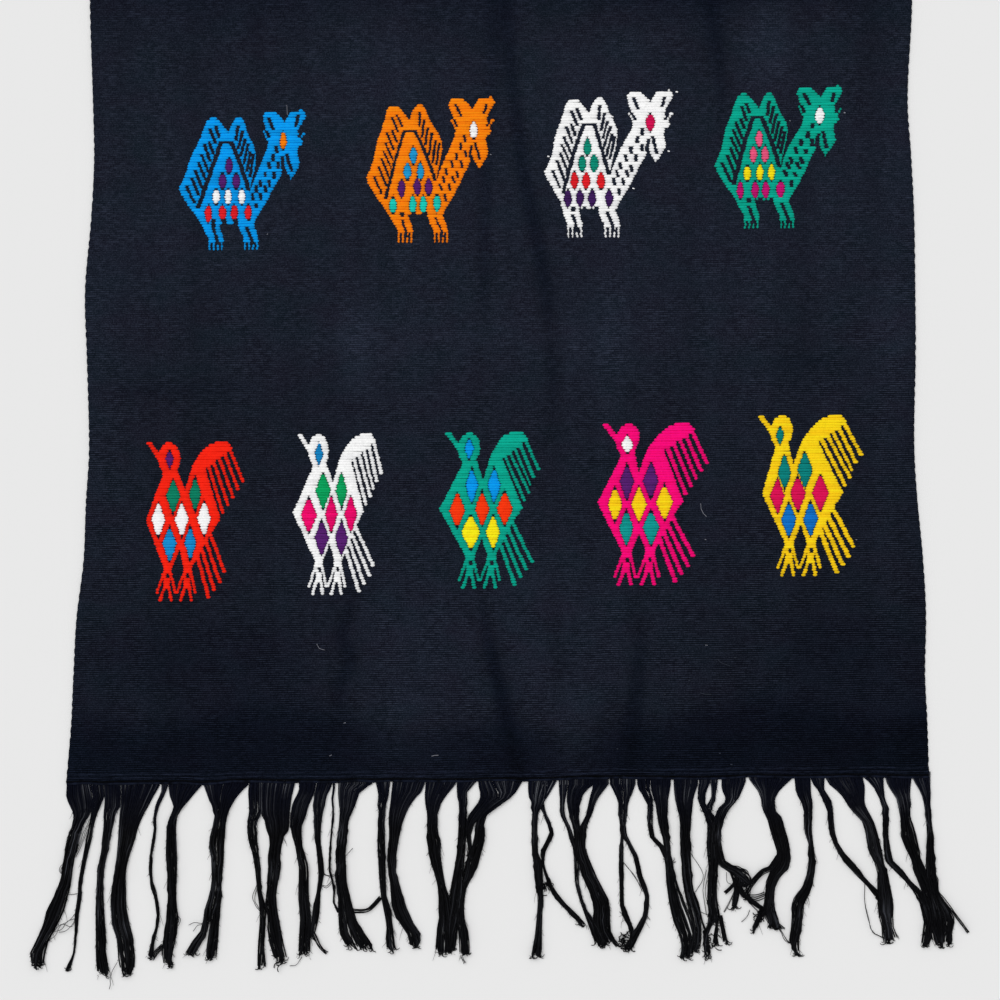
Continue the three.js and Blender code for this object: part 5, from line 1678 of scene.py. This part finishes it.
def tangle_paths(panel, across, down, wide, long, count, chance):
    """The paths of short ends that curl about a place."""
    paths = []
    for _ in range(count):
        turn = chance.uniform(0, 2 * math.pi)
        off = math.sqrt(chance.random())
        aside = wide * off * math.cos(turn)
        below = long * off * math.sin(turn)
        x, y = place_of(panel, across + aside, down + below)
        heading = chance.uniform(0, 2 * math.pi)
        bend = chance.choice((-1, 1)) * chance.uniform(0.15, 0.6)
        stride = chance.uniform(0.3, 0.55)
        z = chance.uniform(0.4, 2.2)
        path = []
        for _ in range(CURL_POINTS):
            path.append(path_point(x, y, z, CURL_HALF, yarn_colour(FAR_FROM_HEM, 0.0)))
            heading += bend * chance.uniform(0.5, 1.5)
            x += stride * math.cos(heading)
            y += stride * math.sin(heading)
        paths.append(path)
    return paths


def fuzz_paths(rows, chance):
    """The short fuzz along a lock's sides, with a longer hair here and there."""
    drops, lefts, rights = zip(*rows)
    paths = []
    for _ in range(round(FUZZ_PER_MM * (drops[-1] - drops[0]))):
        drop = drops[0] + (drops[-1] - drops[0]) * chance.uniform(0.12, 1.0)
        way = chance.choice((-1, 1))
        edge = np.interp(drop, drops, rights if way > 0 else lefts)
        long = 0.8 + 2.4 * chance.random() ** 7
        down = chance.uniform(0.4, 2.2)
        bend = chance.uniform(-1.0, 1.0)
        path = []
        for i in range(4):
            t = i / 3
            across = edge + way * (0.75 * long * t - 0.5) * math.cos(bend * t)
            y = hem_y(across, 0) - drop - long * (down * t + bend * t * t * 0.5)
            dye = yarn_colour(FAR_FROM_HEM, 0.03)
            path.append(path_point(across, y, 0.5 + 0.5 * t, 0.12 - 0.06 * t, dye))
        paths.append(path)
    return paths


def fringe_material():
    finish = Finish("fringe_cotton_warp", 0.95, 0.05)
    place = finish.place()
    dye = finish.node("ShaderNodeAttribute", attribute_name="dye").outputs["Color"]
    fibres = finish.cloud(finish.stretched(place, (1900.0, 700.0, 1900.0)), 1.0, 3.0)
    colour = finish.blend(finish.spread(fibres, 0.5, 0.78, 0.0, 0.1), dye, linear(FIBRE_GREY))
    finish.put(finish.shader.inputs["Base Color"], colour)
    finish.raise_by(fibres, 0.8, FIBRE_RELIEF)
    return finish.material


fringe_cotton = fringe_material()
chance = random.Random(7)
yarns = {"left": [], "right": []}
hair_paths = []
for panel, ragged, readings in LOCKS:
    rows = lock_rows(panel, readings)
    half = "left" if rows[0][1] < PARTED_AT else "right"
    stations = max(8, round((rows[-1][0] - rows[0][0]) / STATION_STEP))
    yarns[half] += lock_paths(rows, ragged * READING, -1, 0, stations, chance)
    hair_paths += fuzz_paths(rows, chance)
for one in SLIPPED:
    hair_paths += slipped_paths(*one, chance)
for one in TANGLES:
    hair_paths += tangle_paths(*one, chance)
near_fringe = yarn_piece("loose_warp_near", yarns["left"], fringe_cotton)
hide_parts("near_fringe")
near_fringe_right = yarn_piece("loose_warp_near_right", yarns["right"], fringe_cotton)
fringe_hairs = yarn_piece("loose_warp_hairs", hair_paths, fringe_cotton)

# Far fringe
# The loose warps at the other end, drawn by use into thirty-four plain locks in the same way. The
# photograph ends short of them, so they are made simply and much alike.

FAR_LOCKS = 34
FAR_LENGTH = 84
FAR_REACH = 196
FAR_NECK = 0.22  # the share of a lock over which it narrows
FAR_ROWS = 13
FAR_STATIONS = 13  # points of a yarn's path
FAR_RAGGED = 4
GOLDEN_ANGLE = 2.39996  # turns the locks' unevenness round so that no two are alike


def plain_lock(i):
    """The rows of one plain lock: mm from the hem, left and right."""
    pitch = 2 * FAR_REACH / (FAR_LOCKS - 1)
    turn = i * GOLDEN_ANGLE
    lean = 4 * math.sin(i / FAR_LOCKS * 5)
    sway = 1.5 * math.sin(turn)
    long = FAR_LENGTH + 6 * math.cos(turn * 1.7)
    wide = 5 + 0.8 * math.cos(turn)
    rows = []
    for k in range(FAR_ROWS):
        share = k / (FAR_ROWS - 1)
        opening = max(0.0, 1 - share / FAR_NECK) ** 1.8
        width = wide + (pitch - wide) * opening + 0.8 * math.sin(turn * 1.3) * share
        middle = -FAR_REACH + i * pitch + lean * share + sway * math.sin(math.pi * share)
        rows.append((long * share, middle - width / 2, middle + width / 2))
    return rows


chance = random.Random(11)
far_paths = []
for i in range(FAR_LOCKS):
    far_paths += lock_paths(plain_lock(i), FAR_RAGGED, 1, 1, FAR_STATIONS, chance)
far_fringe = yarn_piece("loose_warp_far", far_paths, fringe_cotton)
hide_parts("far_fringe")

# Floor, light and camera
# The runner lies on a plain pale floor, under an even sky of soft light and one soft lamp. The
# camera looks straight down on the inlaid end, and cuts the rest off as the photograph does.

CAMERA_HIGH = 1.2
CAMERA_X = 0.0007
CAMERA_Y = -0.566
SEEN_WIDTH = 0.476
SENSOR = 36.0
FLOOR_REACH = 4
FLOOR_PALE = (234, 234, 234)
SKY_STRENGTH = 0.70
LAMP_STRENGTH = 1.1
LAMP_SPREAD = 45
LAMP_FROM = (-0.4, 0.55, 1.0)

floor_mesh = bpy.data.meshes.new("floor")
corners = [(x * FLOOR_REACH, y * FLOOR_REACH, 0) for x, y in ((-1, -1), (1, -1), (1, 1), (-1, 1))]
floor_mesh.from_pydata(corners, [], [(0, 1, 2, 3)])
floor = bpy.data.objects.new("floor", floor_mesh)
scene.collection.objects.link(floor)
paper = Finish("pale_floor", 0.95, 0.0)
paper.shader.inputs["Base Color"].default_value = linear(FLOOR_PALE)
floor_mesh.materials.append(paper.material)

world = bpy.data.worlds.new("studio")
world.use_nodes = True
world.node_tree.nodes["Background"].inputs["Color"].default_value = (1.0, 1.0, 1.0, 1.0)
world.node_tree.nodes["Background"].inputs["Strength"].default_value = SKY_STRENGTH
scene.world = world

lamp_data = bpy.data.lights.new("soft_lamp", "SUN")
lamp_data.energy = LAMP_STRENGTH
lamp_data.angle = math.radians(LAMP_SPREAD)
lamp = bpy.data.objects.new("soft_lamp", lamp_data)
scene.collection.objects.link(lamp)
lamp.rotation_euler = Vector(LAMP_FROM).to_track_quat("Z", "Y").to_euler()

camera_data = bpy.data.cameras.new("camera")
camera_data.sensor_width = SENSOR
camera_data.lens = SENSOR * CAMERA_HIGH / SEEN_WIDTH
camera_data.clip_start = 0.01
camera = bpy.data.objects.new("camera", camera_data)
scene.collection.objects.link(camera)
camera.location = (CAMERA_X, CAMERA_Y, CAMERA_HIGH)
scene.camera = camera
scene.view_settings.view_transform = "Standard"
